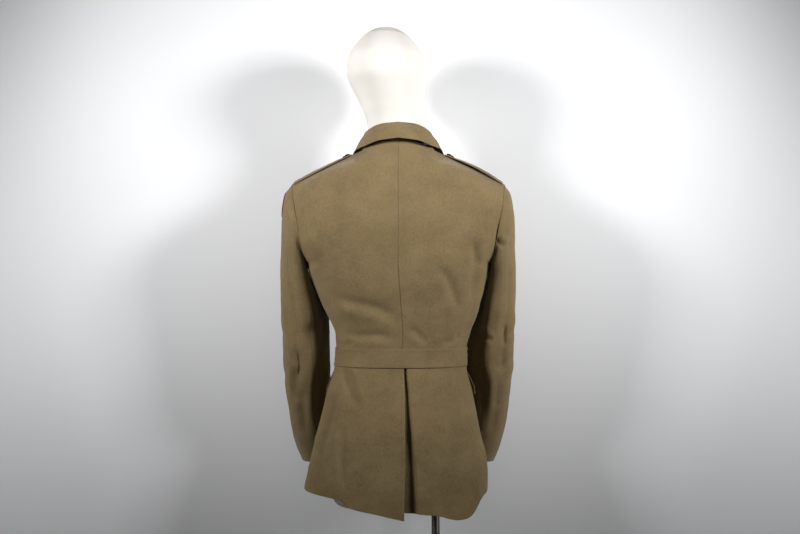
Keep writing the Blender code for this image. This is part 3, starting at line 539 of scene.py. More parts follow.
SLEEVE_DRAPE = Drape((
    # left, behind and outside
    Crease(((0.2200, 0.860), (0.2165, 0.800), (0.2110, 0.726), (0.1990, 0.650), (0.1965, 0.606),
            (0.2060, 0.556), (0.2130, 0.505)), 0.0046, 0.0085, 0.45, 1.0),
    Crease(((0.2050, 0.640), (0.1985, 0.608), (0.2040, 0.575)), 0.0036, 0.0055, 0.3, 1.0),
    Crease(((0.1925, 0.845), (0.1860, 0.807), (0.1780, 0.760), (0.1727, 0.716), (0.1635, 0.678),
            (0.1650, 0.660), (0.1700, 0.626), (0.1735, 0.577), (0.1780, 0.520), (0.1800, 0.450)),
           -0.0052, 0.0095, 0.50, -1.0),
    Crease(((0.2000, 0.900), (0.1960, 0.840), (0.1930, 0.780)), 0.0026, 0.0090, 0.4, -1.0),
    Crease(((0.1930, 0.560), (0.1900, 0.500), (0.1880, 0.450)), 0.0028, 0.0100, 0.4, -1.0),
    Crease(((0.2330, 0.640), (0.2120, 0.618), (0.1930, 0.612)), 0.0020, 0.0075),
    Crease(((0.2300, 0.560), (0.2100, 0.540), (0.1900, 0.532)), 0.0018, 0.0075),
    Crease(((-0.045, 0.700), (-0.005, 0.668), (0.040, 0.655)), 0.0014, 0.0110, 0.5, 1.0,
           View.LEFT),
    Crease(((-0.075, 0.600), (-0.030, 0.580), (0.010, 0.585)), 0.0014, 0.0110, 0.5, 1.0,
           View.LEFT),
    Crease(((-0.030, 0.900), (-0.020, 0.830), (-0.026, 0.760)), 0.0018, 0.0150, 0.4, 1.0,
           View.LEFT),
    # left, in front: the bend of the elbow
    Crease(((0.225, 0.640), (0.200, 0.622), (0.160, 0.628)), 0.0046, 0.0080, 0.5, 1.0, View.FRONT),
    Crease(((0.222, 0.585), (0.195, 0.572), (0.158, 0.585)), 0.0046, 0.0075, 0.5, 1.0, View.FRONT),
    Crease(((0.222, 0.705), (0.205, 0.690), (0.175, 0.700)), 0.0030, 0.0080, 0.5, 1.0, View.FRONT),
    # right, behind and outside
    Crease(((-0.2180, 0.870), (-0.2190, 0.800), (-0.2170, 0.720), (-0.2110, 0.660),
            (-0.2080, 0.610), (-0.2120, 0.550)), 0.0040, 0.0085, 0.45, 1.0),
    Crease(((-0.2120, 0.690), (-0.2105, 0.668), (-0.2130, 0.640)), 0.0036, 0.0055, 0.3, -1.0),
    Crease(((-0.1900, 0.855), (-0.1985, 0.846), (-0.2050, 0.838)), 0.0040, 0.0060, 0.6, -1.0),
    Crease(((-0.1900, 0.840), (-0.1875, 0.774), (-0.1845, 0.726), (-0.1755, 0.676),
            (-0.1765, 0.664), (-0.1815, 0.645), (-0.1800, 0.610), (-0.1880, 0.560),
            (-0.1860, 0.500), (-0.1800, 0.450)), -0.0052, 0.0095, 0.50, 1.0),
    Crease(((-0.1720, 0.672), (-0.1780, 0.660), (-0.1900, 0.655)), 0.0034, 0.0050, 0.4, -1.0),
    Crease(((-0.1980, 0.590), (-0.1930, 0.520), (-0.1900, 0.450)), 0.0028, 0.0100, 0.4, 1.0),
    Crease(((-0.2330, 0.625), (-0.2120, 0.606), (-0.1900, 0.600)), 0.0020, 0.0075, 0.45, -1.0),
    Crease(((-0.2290, 0.540), (-0.2100, 0.524), (-0.1900, 0.518)), 0.0018, 0.0080, 0.45, -1.0),
    Crease(((-0.040, 0.690), (0.000, 0.672), (0.045, 0.668)), 0.0014, 0.0110, 0.5, 1.0,
           View.RIGHT),
    Crease(((-0.080, 0.590), (-0.040, 0.572), (0.000, 0.580)), 0.0014, 0.0110, 0.5, 1.0,
           View.RIGHT),
    # right, in front
    Crease(((-0.225, 0.650), (-0.198, 0.630), (-0.158, 0.636)), 0.0044, 0.0080, 0.5, -1.0,
           View.FRONT),
    Crease(((-0.222, 0.592), (-0.196, 0.578), (-0.158, 0.592)), 0.0044, 0.0075, 0.5, -1.0,
           View.FRONT),
), (Unevenness(0.0007, 0.12, 4), Unevenness(0.00022, 0.030, 9)))


def place(tree: bpy.types.NodeTree, kind: str, inputs: Optional[dict] = None,
          **settings: object) -> bpy.types.Node:
    """Add a node to a tree.

    Args:
        tree: the tree.
        kind: the node's type without its Shader prefix.
        inputs: values or output sockets by input name or number.
        settings: the node's own options.

    Returns:
        The node.
    """
    item = tree.nodes.new("ShaderNode" + kind)
    for key, value in settings.items():
        setattr(item, key, value)
    for key, value in (inputs or {}).items():
        if isinstance(value, bpy.types.NodeSocket):
            tree.links.new(value, item.inputs[key])
        else:
            item.inputs[key].default_value = value
    return item


def new_group(name: str, inputs: dict[str, float | None],
              outputs: Sequence[str]) -> tuple[bpy.types.NodeTree, bpy.types.Node, bpy.types.Node]:
    """Start a shader group with named sockets.

    Args:
        name: the group's name.
        inputs: default values by name, None for a vector.
        outputs: names of the values that it gives.

    Returns:
        The tree, its input node and its output node.
    """
    tree = bpy.data.node_groups.new(name, "ShaderNodeTree")
    for key, value in inputs.items():
        kind = "NodeSocketVector" if value is None else "NodeSocketFloat"
        socket = tree.interface.new_socket(key, in_out="INPUT", socket_type=kind)
        if value is not None:
            socket.default_value = value
    for key in outputs:
        tree.interface.new_socket(key, in_out="OUTPUT", socket_type="NodeSocketFloat")
    return tree, tree.nodes.new("NodeGroupInput"), tree.nodes.new("NodeGroupOutput")


def maths(tree: bpy.types.NodeTree, operation: str, one: object, two: object = 0.0,
          clamp: bool = False) -> bpy.types.NodeSocket:
    """The result of a Math node on two values or sockets."""
    return place(tree, "Math", {0: one, 1: two}, operation=operation, use_clamp=clamp).outputs[0]


def blend(tree: bpy.types.NodeTree, share: object, one: object, two: object,
          kind: str = "MIX") -> bpy.types.NodeSocket:
    """A colour between two, by a share from 0 to 1."""
    node = place(tree, "Mix", data_type="RGBA", blend_type=kind)
    for index, value in ((0, share), (6, one), (7, two)):
        if isinstance(value, bpy.types.NodeSocket):
            tree.links.new(value, node.inputs[index])
        elif index == 0:
            node.inputs[0].default_value = value
        else:
            node.inputs[index].default_value = (*value, 1.0)
    return node.outputs[2]


class Effects:
    """Shader groups that several finishes share, each built once."""

    def __init__(self) -> None:
        """Build every group."""
        self.twill = self._twill()
        self.mottle = self._mottle()
        self.specks = self._specks()

    @staticmethod
    def _twill() -> bpy.types.NodeTree:
        """Slanting ribs: a sine across the slanted line, broken up by one along it."""
        tree, start, end = new_group("twill_ribs", {"Coordinates": None, "Pitch": 0.001,
                                                    "Slant": 1.0}, ("Height",))
        turned = place(tree, "VectorRotate", {"Vector": start.outputs[0],
                                              "Angle": start.outputs[2]}, rotation_type="Z_AXIS")
        split = place(tree, "SeparateXYZ", {0: turned.outputs[0]})
        number = maths(tree, "DIVIDE", 2.0 * math.pi, start.outputs[1])
        rib = maths(tree, "SINE", maths(tree, "MULTIPLY", split.outputs[0], number))
        yarn = maths(tree, "SINE", maths(tree, "MULTIPLY", split.outputs[1], number))
        height = maths(tree, "ADD", maths(tree, "MULTIPLY", rib, 0.38),
                       maths(tree, "MULTIPLY", yarn, 0.12))
        tree.links.new(maths(tree, "ADD", height, 0.5), end.inputs[0])
        return tree

    @staticmethod
    def _mottle() -> bpy.types.NodeTree:
        """Cloudy patches: noise of a given size, its middle spread out to 0 and 1."""
        tree, start, end = new_group("mottle", {"Coordinates": None, "Size": 0.05, "Low": 0.35,
                                                "High": 0.65}, ("Share",))
        noise = place(tree, "TexNoise", {"Vector": start.outputs[0], "Detail": 3.0,
                                         "Scale": maths(tree, "DIVIDE", 1.0, start.outputs[1])})
        share = place(tree, "MapRange", {"Value": noise.outputs[0], "From Min": start.outputs[2],
                                         "From Max": start.outputs[3]})
        tree.links.new(share.outputs[0], end.inputs[0])
        return tree

    @staticmethod
    def _specks() -> bpy.types.NodeTree:
        """Small round marks in a few cells of a Voronoi pattern.

        A cell is marked when its random colour is under Rate, and the mark is
        where the distance to the cell's point is under Radius.
        """
        tree, start, end = new_group("specks", {"Coordinates": None, "Size": 0.03, "Radius": 0.02,
                                                "Rate": 0.1}, ("Mask",))
        cells = place(tree, "TexVoronoi", {"Vector": start.outputs[0],
                                           "Scale": maths(tree, "DIVIDE", 1.0, start.outputs[1])})
        lot = place(tree, "SeparateColor", {0: cells.outputs["Color"]})
        chosen = maths(tree, "LESS_THAN", lot.outputs[0], start.outputs[3])
        size = maths(tree, "MULTIPLY", start.outputs[2], maths(tree, "ADD", lot.outputs[1], 0.5))
        inside = maths(tree, "LESS_THAN", cells.outputs["Distance"], size)
        tree.links.new(maths(tree, "MULTIPLY", chosen, inside), end.inputs[0])
        return tree


def clouds(tree: bpy.types.NodeTree, effects: Effects, at: bpy.types.NodeSocket, size: float,
           low: float, high: float) -> bpy.types.NodeSocket:
    """Cloudy patches of a size, spread out between two levels of the noise."""
    return use(tree, effects.mottle, {"Coordinates": at, "Size": size, "Low": low, "High": high})


def marks(tree: bpy.types.NodeTree, effects: Effects, at: bpy.types.NodeSocket, size: float,
          radius: float, rate: float) -> bpy.types.NodeSocket:
    """Small round marks: the size of a cell, a mark's share of it, and how many have one."""
    return use(tree, effects.specks, {"Coordinates": at, "Size": size, "Radius": radius,
                                      "Rate": rate})


def use(tree: bpy.types.NodeTree, group: bpy.types.NodeTree,
        inputs: dict) -> bpy.types.NodeSocket:
    """Place a group with its own values and give its first output."""
    item = tree.nodes.new("ShaderNodeGroup")
    item.node_tree = group
    for key, value in inputs.items():
        if isinstance(value, bpy.types.NodeSocket):
            tree.links.new(value, item.inputs[key])
        else:
            item.inputs[key].default_value = value
    return item.outputs[0]


def new_finish(name: str, **sockets: object) -> tuple[bpy.types.Material, bpy.types.NodeTree,
                                                      bpy.types.Node]:
    """Start a Principled material.

    Args:
        name: the finish's name.
        sockets: constants by input name, with underscores for spaces.

    Returns:
        The material, its tree and its shader.
    """
    finish = bpy.data.materials.new(name)
    finish.use_nodes = True
    shader = finish.node_tree.nodes["Principled BSDF"]
    for key, value in sockets.items():
        shader.inputs[key.replace("_", " ")].default_value = value
    return finish, finish.node_tree, shader


def bump(tree: bpy.types.NodeTree, shader: bpy.types.Node, height: bpy.types.NodeSocket,
         distance: float, strength: float = 1.0) -> None:
    """Feed a height in metres times distance into the shader's normal."""
    node = place(tree, "Bump", {"Height": height, "Distance": distance, "Strength": strength})
    tree.links.new(node.outputs[0], shader.inputs["Normal"])


@dataclass(frozen=True)
class WoolSerge:
    """Olive drab wool serge: fine twill ribs, darkened in their grooves as painted shade, a short
    nap, clouded and a little moth-marked.
    """

    deep: Colour = (0.117, 0.082, 0.037)
    pale: Colour = (0.178, 0.130, 0.063)
    rusty: Colour = (0.186, 0.117, 0.050)
    hole: Colour = (0.050, 0.035, 0.022)
    lint: Colour = (0.420, 0.350, 0.240)
    rib: float = 0.0013
    slant: float = 1.08

    def material(self, name: str, effects: Effects) -> bpy.types.Material:
        """Make the cloth."""
        finish, tree, shader = new_finish(
            name, Roughness=0.88, Sheen_Weight=0.15, Sheen_Roughness=0.45,
            Sheen_Tint=(1.0, 0.90, 0.74, 1.0), Specular_IOR_Level=0.18)
        place_in = place(tree, "TexCoord").outputs["Object"]
        weave_at = place(tree, "UVMap", uv_map="weave").outputs[0]
        patches = clouds(tree, effects, place_in, 0.045, 0.30, 0.70)
        grain = clouds(tree, effects, place_in, 0.0042, 0.25, 0.75)
        rust = clouds(tree, effects, place_in, 0.016, 0.52, 0.78)
        ribs = use(tree, effects.twill, {"Coordinates": weave_at, "Pitch": self.rib,
                                         "Slant": self.slant})
        shade = maths(tree, "ADD", maths(tree, "MULTIPLY", patches, 0.45),
                      maths(tree, "MULTIPLY", grain, 0.55))
        colour = blend(tree, shade, self.deep, self.pale)
        colour = blend(tree, maths(tree, "MULTIPLY", rust, 0.40), colour, self.rusty)
        # painted shade: the colour is darkened where the twill's height is low, in the grooves
        # between its ribs
        groove_shade = maths(tree, "ADD", 0.84, maths(tree, "MULTIPLY", ribs, 0.30))
        groove_shade_colour = place(tree, "CombineColor", {0: groove_shade, 1: groove_shade, 2: groove_shade}).outputs[0]
        colour = blend(tree, 1.0, colour, groove_shade_colour, "MULTIPLY")
        holes = marks(tree, effects, place_in, 0.030, 0.030, 0.10)
        threads = marks(tree, effects, place_in, 0.022, 0.030, 0.07)
        colour = blend(tree, maths(tree, "MULTIPLY", holes, 0.75), colour, self.hole)
        colour = blend(tree, maths(tree, "MULTIPLY", threads, 0.55), colour, self.lint)
        tree.links.new(colour, shader.inputs["Base Color"])
        height = maths(tree, "ADD", maths(tree, "MULTIPLY", ribs, 0.6),
                       maths(tree, "MULTIPLY", grain, 0.9))
        height = maths(tree, "SUBTRACT", height, holes)
        bump(tree, shader, height, 0.00035, 0.8)
        return finish


@dataclass(frozen=True)
class RedFelt:
    """Milled red felt with no weave, only a matted nap."""

    deep: Colour = (0.215, 0.016, 0.015)
    pale: Colour = (0.330, 0.043, 0.035)

    def material(self, name: str, effects: Effects) -> bpy.types.Material:
        """Make the felt."""
        finish, tree, shader = new_finish(name, Roughness=0.92, Sheen_Weight=0.35,
                                          Sheen_Roughness=0.5, Sheen_Tint=(1.0, 0.7, 0.6, 1.0))
        place_in = place(tree, "TexCoord").outputs["Object"]
        nap = clouds(tree, effects, place_in, 0.0016, 0.3, 0.7)
        patches = clouds(tree, effects, place_in, 0.012, 0.3, 0.7)
        share = maths(tree, "MULTIPLY", maths(tree, "ADD", nap, patches), 0.5)
        tree.links.new(blend(tree, share, self.deep, self.pale), shader.inputs["Base Color"])
        bump(tree, shader, nap, 0.0004)
        return finish


@dataclass(frozen=True)
class AgedBrass:
    """Stamped brass, in random patches of bright metal and brown tarnish."""

    bright: Colour = (0.62, 0.43, 0.17)
    brown: Colour = (0.17, 0.105, 0.045)

    def material(self, name: str, effects: Effects) -> bpy.types.Material:
        """Make the metal."""
        finish, tree, shader = new_finish(name, Metallic=1.0)
        place_in = place(tree, "TexCoord").outputs["Object"]
        tarnish = clouds(tree, effects, place_in, 0.004, 0.42, 0.72)
        scratch = clouds(tree, effects, place_in, 0.0009, 0.2, 0.8)
        colour = blend(tree, maths(tree, "MULTIPLY", tarnish, 0.8), self.bright, self.brown)
        tree.links.new(colour, shader.inputs["Base Color"])
        rough = maths(tree, "ADD", 0.28, maths(tree, "MULTIPLY", tarnish, 0.30))
        tree.links.new(rough, shader.inputs["Roughness"])
        bump(tree, shader, scratch, 0.00006)
        return finish


@dataclass(frozen=True)
class FormCover:
    """Close cotton jersey stretched over the form, slightly yellowed."""

    pale: Colour
    deep: Colour
    knit: float = 0.0009

    def material(self, name: str, effects: Effects) -> bpy.types.Material:
        """Make the cover."""
        finish, tree, shader = new_finish(name, Roughness=0.62, Sheen_Weight=0.15,
                                          Sheen_Roughness=0.5, Specular_IOR_Level=0.35)
        place_in = place(tree, "TexCoord").outputs["Object"]
        patches = clouds(tree, effects, place_in, 0.07, 0.3, 0.75)
        loops = clouds(tree, effects, place_in, self.knit, 0.2, 0.8)
        spots = marks(tree, effects, place_in, 0.040, 0.022, 0.08)
        share = maths(tree, "ADD", maths(tree, "MULTIPLY", patches, 0.8),
                      maths(tree, "MULTIPLY", loops, 0.2))
        colour = blend(tree, share, self.pale, self.deep)
        colour = blend(tree, maths(tree, "MULTIPLY", spots, 0.35), colour, (0.35, 0.28, 0.20))
        tree.links.new(colour, shader.inputs["Base Color"])
        bump(tree, shader, loops, 0.00010)
        return finish


@dataclass(frozen=True)
class DullSteel:
    """Drawn steel gone grey-brown, with a faint grain."""

    pale: Colour = (0.20, 0.185, 0.165)
    deep: Colour = (0.075, 0.066, 0.056)

    def material(self, name: str, effects: Effects) -> bpy.types.Material:
        """Make the metal."""
        finish, tree, shader = new_finish(name, Metallic=0.85)
        place_in = place(tree, "TexCoord").outputs["Object"]
        patches = clouds(tree, effects, place_in, 0.03, 0.3, 0.7)
        stretched = place(tree, "Mapping", {"Vector": place_in, "Scale": (1.0, 1.0, 0.06)})
        grain = clouds(tree, effects, stretched.outputs[0], 0.0012, 0.2, 0.8)
        tree.links.new(blend(tree, patches, self.pale, self.deep), shader.inputs["Base Color"])
        rough = maths(tree, "ADD", 0.34, maths(tree, "MULTIPLY", patches, 0.22))
        tree.links.new(rough, shader.inputs["Roughness"])
        bump(tree, shader, grain, 0.00005)
        return finish


@dataclass(frozen=True)
class StudioPaint:
    """Matt off-white paint; the wall can be seen through from behind."""

    colour: Colour
    see_through: bool = False

    def material(self, name: str, effects: Effects) -> bpy.types.Material:
        """Make the paint."""
        finish, tree, shader = new_finish(name, Roughness=0.95, Specular_IOR_Level=0.1)
        place_in = place(tree, "TexCoord").outputs["Object"]
        patches = clouds(tree, effects, place_in, 0.9, 0.2, 0.8)
        deep = tuple(0.97 * c for c in self.colour)
        tree.links.new(blend(tree, patches, self.colour, deep), shader.inputs["Base Color"])
        if self.see_through:
            clear = place(tree, "BsdfTransparent")
            behind = place(tree, "NewGeometry").outputs["Backfacing"]
            both = place(tree, "MixShader", {0: behind, 1: shader.outputs[0],
                                             2: clear.outputs[0]})
            tree.links.new(both.outputs[0], tree.nodes["Material Output"].inputs[0])
        return finish


@dataclass
class Finishes:
    """Every finish of the object, made once."""

    effects: Effects = field(default_factory=Effects)

    def __post_init__(self) -> None:
        """Make the materials."""
        self.wool = WoolSerge().material("olive_wool_serge", self.effects)
        self.felt = RedFelt().material("red_felt_cloth", self.effects)
        self.brass = AgedBrass().material("aged_brass", self.effects)
        self.head = FormCover((0.585, 0.564, 0.530), (0.544, 0.513, 0.462)).material(
            "form_head_jersey", self.effects)
        # the crown's jersey is a darker, greyer copy of the head's: painted shade on the top of
        # the head
        self.crown = FormCover((0.449, 0.432, 0.391), (0.394, 0.374, 0.333)).material(
            "form_crown_painted_shade_jersey", self.effects)
        self.trunk = FormCover((0.544, 0.483, 0.435), (0.476, 0.408, 0.360)).material(
            "form_trunk_jersey", self.effects)
        self.steel = DullSteel().material("dull_steel", self.effects)


def add_piece(name: str, points: Grid, faces: list, finish: bpy.types.Material,
              sharp: float = 42.0) -> bpy.types.Object:
    """Put a mesh into the scene, smooth shaded.

    Args:
        name: the piece's name.
        points: its points in metres.
        faces: its faces, facing outwards.
        finish: its material.
        sharp: the angle in degrees past which an edge stays sharp.

    Returns:
        The object.
    """
    mesh = bpy.data.meshes.new(name)
    mesh.from_pydata(points.reshape(-1, 3).tolist(), [], faces)
    mesh.materials.append(finish)
    mesh.shade_smooth()
    mesh.set_sharp_from_angle(angle=math.radians(sharp))
    piece = bpy.data.objects.new(name, mesh)
    bpy.context.scene.collection.objects.link(piece)
    return piece


def edge_lines(length: float, spacing: float) -> Grid:
    """Grid lines from 0 to 1: evenly spaced, with three more close to each end."""
    near = np.array((0.0, 0.0005, 0.0012, 0.0024)) / length
    count = max(2, int(round(length * (1.0 - 2.0 * near[-1]) / spacing)))
    middle = np.linspace(near[-1], 1.0 - near[-1], count + 1)
    return np.concatenate([near[:-1], middle, 1.0 - near[-2::-1]])


@dataclass
class Panel:
    """One cut piece of cloth: its face over a unit square, and the size it was cut to.

    Down is the first parameter of the face and across the second.
    """

    node: str
    face: Face
    cut: tuple[float, float]
    area: Optional[float] = None
    held: str = "hung"
    rests_on: tuple[str, ...] = ("form_torso",)
    spacing: float = 0.0034
    thickness: float = CLOTH
    turned_up: float = 0.0        # depth of the hem turned up inside, at the end of down
    slot: str = "wool_serge"

    @property
    def name(self) -> str:
        """The piece's name: its node's, and the cloth's."""
        return self.node + "_serge"

    def build(self, finish: bpy.types.Material) -> bpy.types.Object:
        """The outer grid sinks and the inner one rises by a bell of the distance
        to the nearest edge, so the wall thins to a rounded lip there.

        Args:
            finish: the cloth.

        Returns:
            The object.
        """
        width, length = self.cut
        down, across = np.meshgrid(edge_lines(length, self.spacing),
                                   edge_lines(width, self.spacing), indexing="ij")
        face, out = self.face(down, across)
        run, fall = arcs(face, 1), arcs(face, 0)
        near = np.minimum(np.minimum(run, run[:, -1:] - run), np.minimum(fall, fall[-1:] - fall))
        lip = 0.20 * self.thickness * np.exp(-(near / 0.0007) ** 2)[..., None]
        depth = np.full(lip.shape, self.thickness)
        if self.turned_up:
            left = (fall[-1:] - fall)[..., None]
            depth = depth + 0.0013 * ease((self.turned_up - left) / 0.002)
        outer, inner = face - out * lip, face - out * (depth - lip)
        rows, columns = face.shape[:2]
        index = np.arange(rows * columns).reshape(rows, columns)
        quads = np.stack([index[:-1, :-1], index[1:, :-1], index[1:, 1:], index[:-1, 1:]],
                         -1).reshape(-1, 4)
        rim = np.concatenate([index[0, :-1], index[:-1, -1], index[-1, :0:-1], index[:0:-1, 0]])
        after, deep = np.roll(rim, -1), rows * columns
        faces = np.concatenate([quads, quads[:, ::-1] + deep,
                                np.stack([rim, after, after + deep, rim + deep], -1)])
        mid = (rows // 2, columns // 2)
        turn = np.cross(face[mid[0] + 1, mid[1]] - face[mid], face[mid[0], mid[1] + 1] - face[mid])
        if np.dot(turn, out[mid]) < 0.0:
            faces = faces[:, ::-1]
        piece = add_piece(self.name, np.stack([outer, inner]), faces.tolist(), finish)
        self._mark_weave(piece.data, np.stack([run, fall], -1).reshape(-1, 2))
        declare(piece, self.node)
        LOG.info("%s: %d x %d points, %.3f m wide, %.3f m long", self.name, rows, columns,
                 run[:, -1].mean(), fall[-1].mean())
        return piece

    @staticmethod
    def _mark_weave(mesh: bpy.types.Mesh, place_on: Grid) -> None:
        """Lay the weave's map in metres of cloth on both faces of the wall."""
        corners = np.empty(len(mesh.loops), dtype=np.int32)
        mesh.loops.foreach_get("vertex_index", corners)
        both = np.concatenate([place_on, place_on])[corners]
        mesh.uv_layers.new(name="weave").data.foreach_set("uv", both.ravel())

    def line(self, down: Sequence[float], across: Sequence[float],
             lift: float = 0.0) -> tuple[Grid, Grid]:
        """A sewing line on the face from one place to another, and its normals.

        Args:
            down: where it starts and ends down the face.
            across: where it starts and ends across the face.
            lift: how far above the face it lies.

        Returns:
            Points and normals.
        """
        count = 80
        points, out = self.face(np.linspace(*down, count)[None], np.linspace(*across, count)[None])
        return points[0] + out[0] * lift, out[0]


@dataclass
class Stitching:
    """Rows of small joined stitches, each a six-sided bead lying along its line."""

    name: str
    pitch: float = 0.0030
    length: float = 0.0021
    radius: float = 0.00030

    def build(self, lines: Sequence[tuple[Grid, Grid]],
              finish: bpy.types.Material) -> bpy.types.Object:
        """Make every stitch of some lines as one piece.

        A bead is rings of radius 0.6, 1, 1 and 0.6 at -0.75, -0.3, 0.3 and 0.75 of
        its half length, closed by a point at each end.

        Args:
            lines: points and normals of each line.
            finish: the thread.

        Returns:
            The object.
        """
        middles, frames = [], []
        for points, out in lines:
            arc = arcs(points, 0)
            count = max(2, int(arc[-1] / self.pitch))
            at = (np.arange(count) + 0.5) * arc[-1] / count
            place_on = np.stack([np.interp(at, arc, points[:, k]) for k in range(3)], -1)
            away = unit(np.stack([np.interp(at, arc, out[:, k]) for k in range(3)], -1))
            tangent = unit(np.gradient(place_on, axis=0))
            beside = unit(np.cross(away, tangent))
            middles.append(place_on)
            frames.append(np.stack([tangent, beside, np.cross(tangent, beside)], 1))
        middle, axes = np.concatenate(middles), np.concatenate(frames)
        turn = np.arange(6) * math.pi / 3.0
        rings = [np.stack([np.full(6, at * self.length / 2.0), size * self.radius * np.cos(turn),
                           size * self.radius * np.sin(turn)], -1)
                 for at, size in ((-0.75, 0.6), (-0.3, 1.0), (0.3, 1.0), (0.75, 0.6))]
        bead = np.concatenate(rings + [[(-self.length / 2.0, 0.0, 0.0),
                                        (self.length / 2.0, 0.0, 0.0)]])
        points = middle[:, None] + np.einsum("pk,nkc->npc", bead, axes)
        ring, after = np.arange(6), np.roll(np.arange(6), -1)
        sides = [np.stack([ring + 6 * k, ring + 6 * k + 6, after + 6 * k + 6, after + 6 * k], -1)
                 for k in range(3)]
        quads = np.concatenate(sides)[:, ::-1]
        ends = np.concatenate([np.stack([after, ring, np.full(6, 24)], -1),
                               np.stack([ring + 18, after + 18, np.full(6, 25)], -1)])[:, ::-1]
        first = np.arange(len(middle))[:, None, None] * len(bead)
        faces = ((quads[None] + first).reshape(-1, 4).tolist()
                 + (ends[None] + first).reshape(-1, 3).tolist())
        piece = add_piece(self.name, points, faces, finish, 80.0)
        piece.data.uv_layers.new(name="weave")
        face_out(piece)
        declare(piece)
        LOG.info("%s: %d stitches", self.name, len(middle))
        return piece


def declare(piece: bpy.types.Object, node: Optional[str] = None) -> None:
    """Fix a piece to the one body, and hide the node that it replaces, if one is given."""
    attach(piece, "root")
    if node:
        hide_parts(node)


def face_out(piece: bpy.types.Object, merge: float = 0.0) -> None:
    """Turn every closed shell of a mesh outwards, after joining doubled points."""
    shape = bmesh.new()
    shape.from_mesh(piece.data)
    if merge:
        bmesh.ops.remove_doubles(shape, verts=shape.verts, dist=merge)
        bmesh.ops.dissolve_degenerate(shape, edges=shape.edges, dist=merge * 0.1)
    bmesh.ops.recalc_face_normals(shape, faces=shape.faces)
    shape.to_mesh(piece.data)
    shape.free()


def ring_solid(name: str, rings: Grid, finish: bpy.types.Material, sharp: float = 42.0,
               merge: float = 0.0) -> bpy.types.Object:
    """A closed solid through rings of points, each end closed to the ring's middle.

    Args:
        name: the piece's name.
        rings: an array of rings, points and coordinates.
        finish: its material.
        sharp: the angle past which an edge stays sharp.
        merge: the distance under which points are joined.

    Returns:
        The object.
    """
    count, sides = rings.shape[:2]
    index = np.arange(count * sides).reshape(count, sides)
    after = np.roll(index, -1, axis=1)
    quads = np.stack([index[:-1], after[:-1], after[1:], index[1:]], -1).reshape(-1, 4)
    low, high = count * sides, count * sides + 1
    caps = np.concatenate([np.stack([after[0], index[0], np.full(sides, low)], -1),
                           np.stack([index[-1], after[-1], np.full(sides, high)], -1)])
    points = np.concatenate([rings.reshape(-1, 3), rings[0].mean(0)[None],
                             rings[-1].mean(0)[None]])
    piece = add_piece(name, points, quads.tolist() + caps.tolist(), finish, sharp)
    face_out(piece, merge)
    return piece


def turned_rings(profile: Grid, middle: Grid, sides: int,
                 axis: Sequence[float] = (0.0, 0.0, 1.0)) -> Grid:
    """Rings of a solid of revolution.

    Args:
        profile: rows of radius and height.
        middle: the point at height nought.
        sides: points in a ring.
        axis: the way up.

    Returns:
        An array of rings, points and coordinates.
    """
    turn = np.arange(sides) * 2.0 * math.pi / sides
    radius, height = np.asarray(profile, float).T
    ring = np.stack([np.cos(turn), np.sin(turn)], -1)
    points = np.concatenate([radius[:, None, None] * ring[None],
                             np.broadcast_to(height[:, None, None], (len(radius), sides, 1))], -1)
    up = unit(np.asarray(axis, float))
    guide = (0.0, 1.0, 0.0) if abs(up[1]) < 0.9 else (1.0, 0.0, 0.0)
    first = unit(np.cross(guide, up))
    return points @ np.array([first, np.cross(up, first), up]) + np.asarray(middle)


def trimmed(part: Grid, length: float) -> Grid:
    """A 0 to 1 grid shrunk by half a seam at both ends of its real length."""
    trim = 0.5 * SEAM / length
    return trim + part * (1.0 - 2.0 * trim)


@dataclass
class Back:
    """The two upper backs, from the waist to the shoulder seam, joined down the middle."""

    drape: Drape = BODY_DRAPE

    def face(self, half: Half) -> Face:
        """The face of one upper back: the trunk's form, creased, level under the belt."""
        form = BodyForm(True, half)

        def surface(up: Grid, across: Grid) -> tuple[Grid, Grid]:
            top = NECK_BACK[1] - 0.5 * SEAM
            row = WAIST + SEAM + up * (top - WAIST - SEAM)
            part = trimmed(across, 0.18)
            points, out = form.points(part, row), form.normals(part, row)
            seam = ease((row - top + 0.010) / 0.010)[..., None]
            out = unit(out * (1.0 - seam) + shoulder_seam_normal(part, half) * seam)
            hole = ease((part - 0.97) / 0.03)[..., None]
            out = unit(out * (1.0 - hole) + armhole_direction(points, out, half) * hole)
            return self.drape.laid(points, out, belt_share(row) * (1.0 - 0.8 * seam[..., 0])), out
        return surface

    def build(self, finishes: Finishes) -> list[tuple[Grid, Grid]]:
        """Make both upper backs; their seams are sewn inside, so no line shows."""
        for half in Half:
            Panel("back_" + half.word, self.face(half),
                  (0.215, 0.435), area=0.088).build(finishes.wool)
        return []


def belt_share(row: Grid) -> Grid:
    """How much of the drape is left near the half belt, which holds the cloth flat."""
    return 1.0 - 0.9 * np.exp(-((row - WAIST) / 0.019) ** 2)


